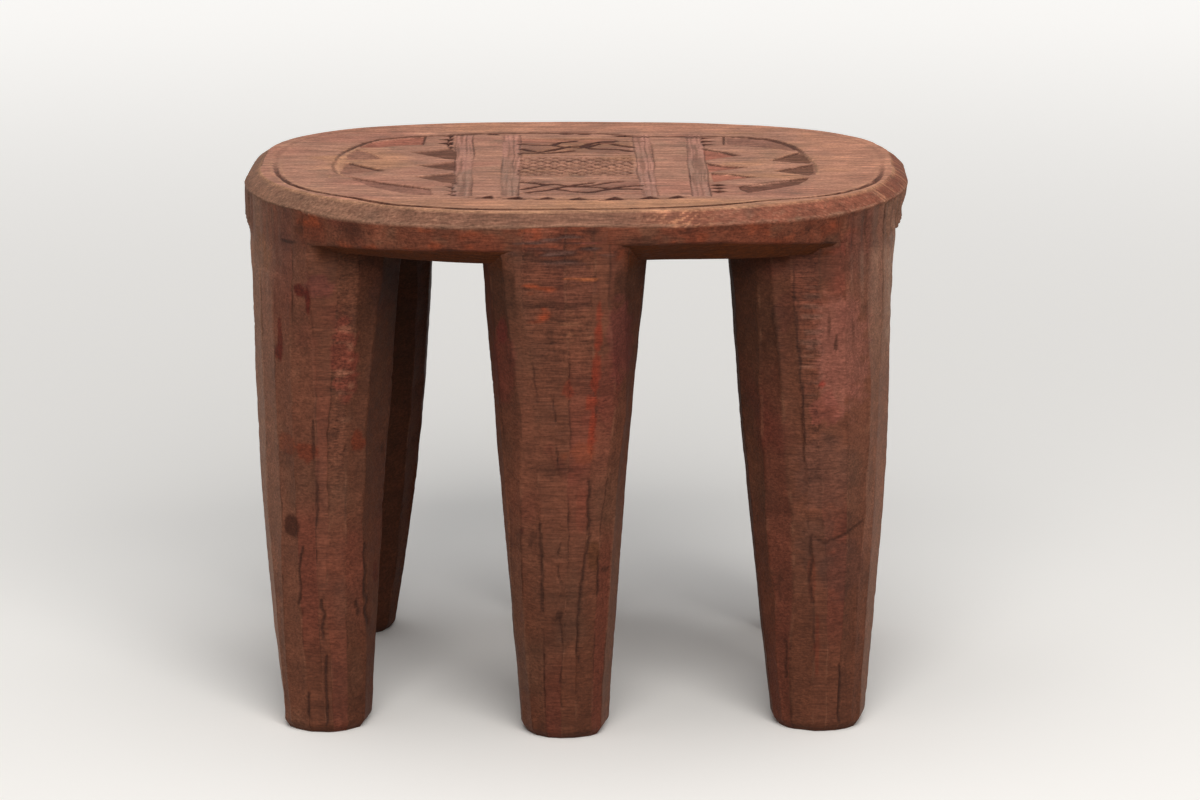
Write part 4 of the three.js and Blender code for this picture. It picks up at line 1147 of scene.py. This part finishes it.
def wood(name, roughness_low, roughness_high):
    """Wood whose colour and strength of grain come from each point's tint."""
    material, tree, shader = painted(name, {"Specular IOR Level": 0.12})
    place = object_place(tree)

    def stretched(scale, detail, rough):
        """Noise stretched along the stool."""
        vector = add_node(tree, "Mapping", {"Vector": place, "Scale": scale})
        return add_node(tree, "TexNoise", {"Vector": vector, "Scale": 1.0, "Detail": detail, "Roughness": rough})

    fibres = stretched((70, 1000, 1000), 3.0, 0.6)
    streaks = stretched((14, 260, 260), 3.0, 0.6)
    pores = stretched((140, 2300, 2300), 1.0, 0.5)
    dirt = stretched((55, 55, 60), 5.0, 0.62)
    speckle = stretched((620, 620, 620), 2.0, 0.6)

    tone = ranged(tree, fibres, 0.34, 0.66, 0.70, 1.25)
    for texture, low, high, to_low, to_high in (
        (streaks, 0.34, 0.66, 0.85, 1.14), (dirt, 0.34, 0.66, 0.80, 1.16), (speckle, 0.32, 0.68, 0.80, 1.18),
        (pores, 0.30, 0.42, 0.72, 1.0),
    ):
        tone = calculated(tree, "MULTIPLY", tone, ranged(tree, texture, low, high, to_low, to_high))

    # The stronger a place's grain, the further its tone swings about the mean
    tint = tree.nodes.new("ShaderNodeAttribute")
    tint.attribute_name = "tint"
    swing = calculated(tree, "MULTIPLY", ranged(tree, tone, 0.0, 2.0, -1.0, 1.0), tint.outputs["Alpha"])
    tone = ranged(tree, swing, -1.0, 1.0, 0.0, 2.0)
    scaled = add_node(tree, "VectorMath", {0: tint.outputs["Color"], "Scale": tone}, operation="SCALE")
    tree.links.new(scaled, shader.inputs["Base Color"])
    tree.links.new(ranged(tree, dirt, 0.3, 0.7, roughness_low, roughness_high), shader.inputs["Roughness"])

    height = fibres
    for texture, share in ((speckle, 0.6), (streaks, 0.8), (pores, 0.35)):
        height = calculated(tree, "MULTIPLY_ADD", texture, share, height)
    bump = add_node(tree, "Bump", {"Height": height, "Strength": 0.55, "Distance": 0.0006})
    tree.links.new(bump, shader.inputs["Normal"])
    return material


seat_wood = wood("seat_wood", 0.66, 0.82)
leg_wood = wood("leg_wood", 0.58, 0.76)
build_seat(seat_wood)
for one in LEGS:
    build_leg(one, leg_wood)

# ---- floor, light and camera


def seen_only(tree):
    """1 for rays from the camera, in reflections and through glass, 0 for light that falls on the object."""
    path = tree.nodes.new("ShaderNodeLightPath")
    total = path.outputs["Is Camera Ray"]
    for name in ("Is Glossy Ray", "Is Transmission Ray"):
        total = calculated(tree, "MAXIMUM", total, path.outputs[name])
    return total


def two_colours(tree, lighting, seen, target):
    """One colour for the light that falls on the object, and another for what is seen."""
    colours = {0: seen_only(tree), 6: (*lighting, 1), 7: (*seen, 1)}
    tree.links.new(add_node(tree, "Mix", colours, data_type="RGBA"), target)


WARM = (1.0, 0.985, 0.96)
FLOOR_HALF = 15  # metres

floor_paint, floor_tree, floor_shader = painted(
    "floor_paint", {"Roughness": 0.9, "Specular IOR Level": 0.2, "Emission Color": (*WARM, 1)})
two_colours(floor_tree, (0.5, 0.48, 0.45), (0.93, 0.91, 0.88), floor_shader.inputs["Base Color"])

# Away from the stool, where the lamps fade, what is seen of the floor is lifted to the same pale tone
away = floor_tree.nodes.new("ShaderNodeVectorMath")
away.operation = "LENGTH"
floor_tree.links.new(object_place(floor_tree), away.inputs[0])
lift = ranged(floor_tree, away.outputs["Value"], 0.2, 3.2, 0.0, 0.66, interpolation_type="SMOOTHSTEP")
glow = calculated(floor_tree, "MULTIPLY", lift, seen_only(floor_tree))
floor_tree.links.new(glow, floor_shader.inputs["Emission Strength"])
floor_mesh = bpy.data.meshes.new("floor")
floor_corners = [(x * FLOOR_HALF, y * FLOOR_HALF, 0) for x, y in ((-1, -1), (1, -1), (1, 1), (-1, 1))]
floor_mesh.from_pydata(floor_corners, [], [(0, 1, 2, 3)])
floor_mesh.materials.append(floor_paint)
floor = bpy.data.objects.new("floor", floor_mesh)
bpy.context.collection.objects.link(floor)

world = bpy.data.worlds.new("studio")
world.use_nodes = True
background = world.node_tree.nodes["Background"]
background.inputs["Strength"].default_value = 1.0
two_colours(world.node_tree, (0.15, 0.153, 0.158), (0.846, 0.838, 0.82), background.inputs["Color"])
bpy.context.scene.world = world


def placed(name, data, axes, place):
    """An object whose own X, Y and Z axes and whose place are given."""
    obj = bpy.data.objects.new(name, data)
    matrix = Matrix.Identity(4)
    for row in range(3):
        matrix[row] = [*(axis[row] for axis in axes), place[row]]
    obj.matrix_world = matrix
    bpy.context.collection.objects.link(obj)
    return obj


def area_light(name, place, target, size, power, colour=(1, 1, 1)):
    """A rectangular lamp that faces a point."""
    data = bpy.data.lights.new(name, "AREA")
    data.shape = "RECTANGLE"
    data.size, data.size_y = size
    data.energy = power
    data.color = colour
    back = np.array(place, float) - np.array(target, float)
    back /= np.linalg.norm(back)
    right = np.cross([0, 0, 1], back)
    right /= np.linalg.norm(right)
    placed(name, data, (right, np.cross(back, right), back), place)


area_light("key", (0.35, -2.2, 1.9), (0, 0, 0.15), (2.6, 1.7), 74, WARM)
area_light("overhead", (0.0, 0.1, 2.6), (0, 0, 0.2), (2.2, 2.0), 25)

# The camera that took the photograph: lens in millimetres, angles in radians, place in metres
LENS, PITCH, YAW, ROLL = 129.05, 0.2360, 0.0185, -0.0027
CAMERA_PLACE = (0.0584, -2.4356, 0.7499)
forward = np.array([-math.sin(YAW) * math.cos(PITCH), math.cos(YAW) * math.cos(PITCH), -math.sin(PITCH)])
level_right = np.array([math.cos(YAW), math.sin(YAW), 0.0])
level_up = np.cross(level_right, forward)
camera_right = math.cos(ROLL) * level_right + math.sin(ROLL) * level_up
camera_up = math.cos(ROLL) * level_up - math.sin(ROLL) * level_right
camera_data = bpy.data.cameras.new("photo_camera")
camera_data.lens = LENS
camera_data.sensor_width = 36
camera_data.clip_end = 100
bpy.context.scene.camera = placed("photo_camera", camera_data, (camera_right, camera_up, -forward), CAMERA_PLACE)
bpy.context.scene.view_settings.view_transform = "Standard"
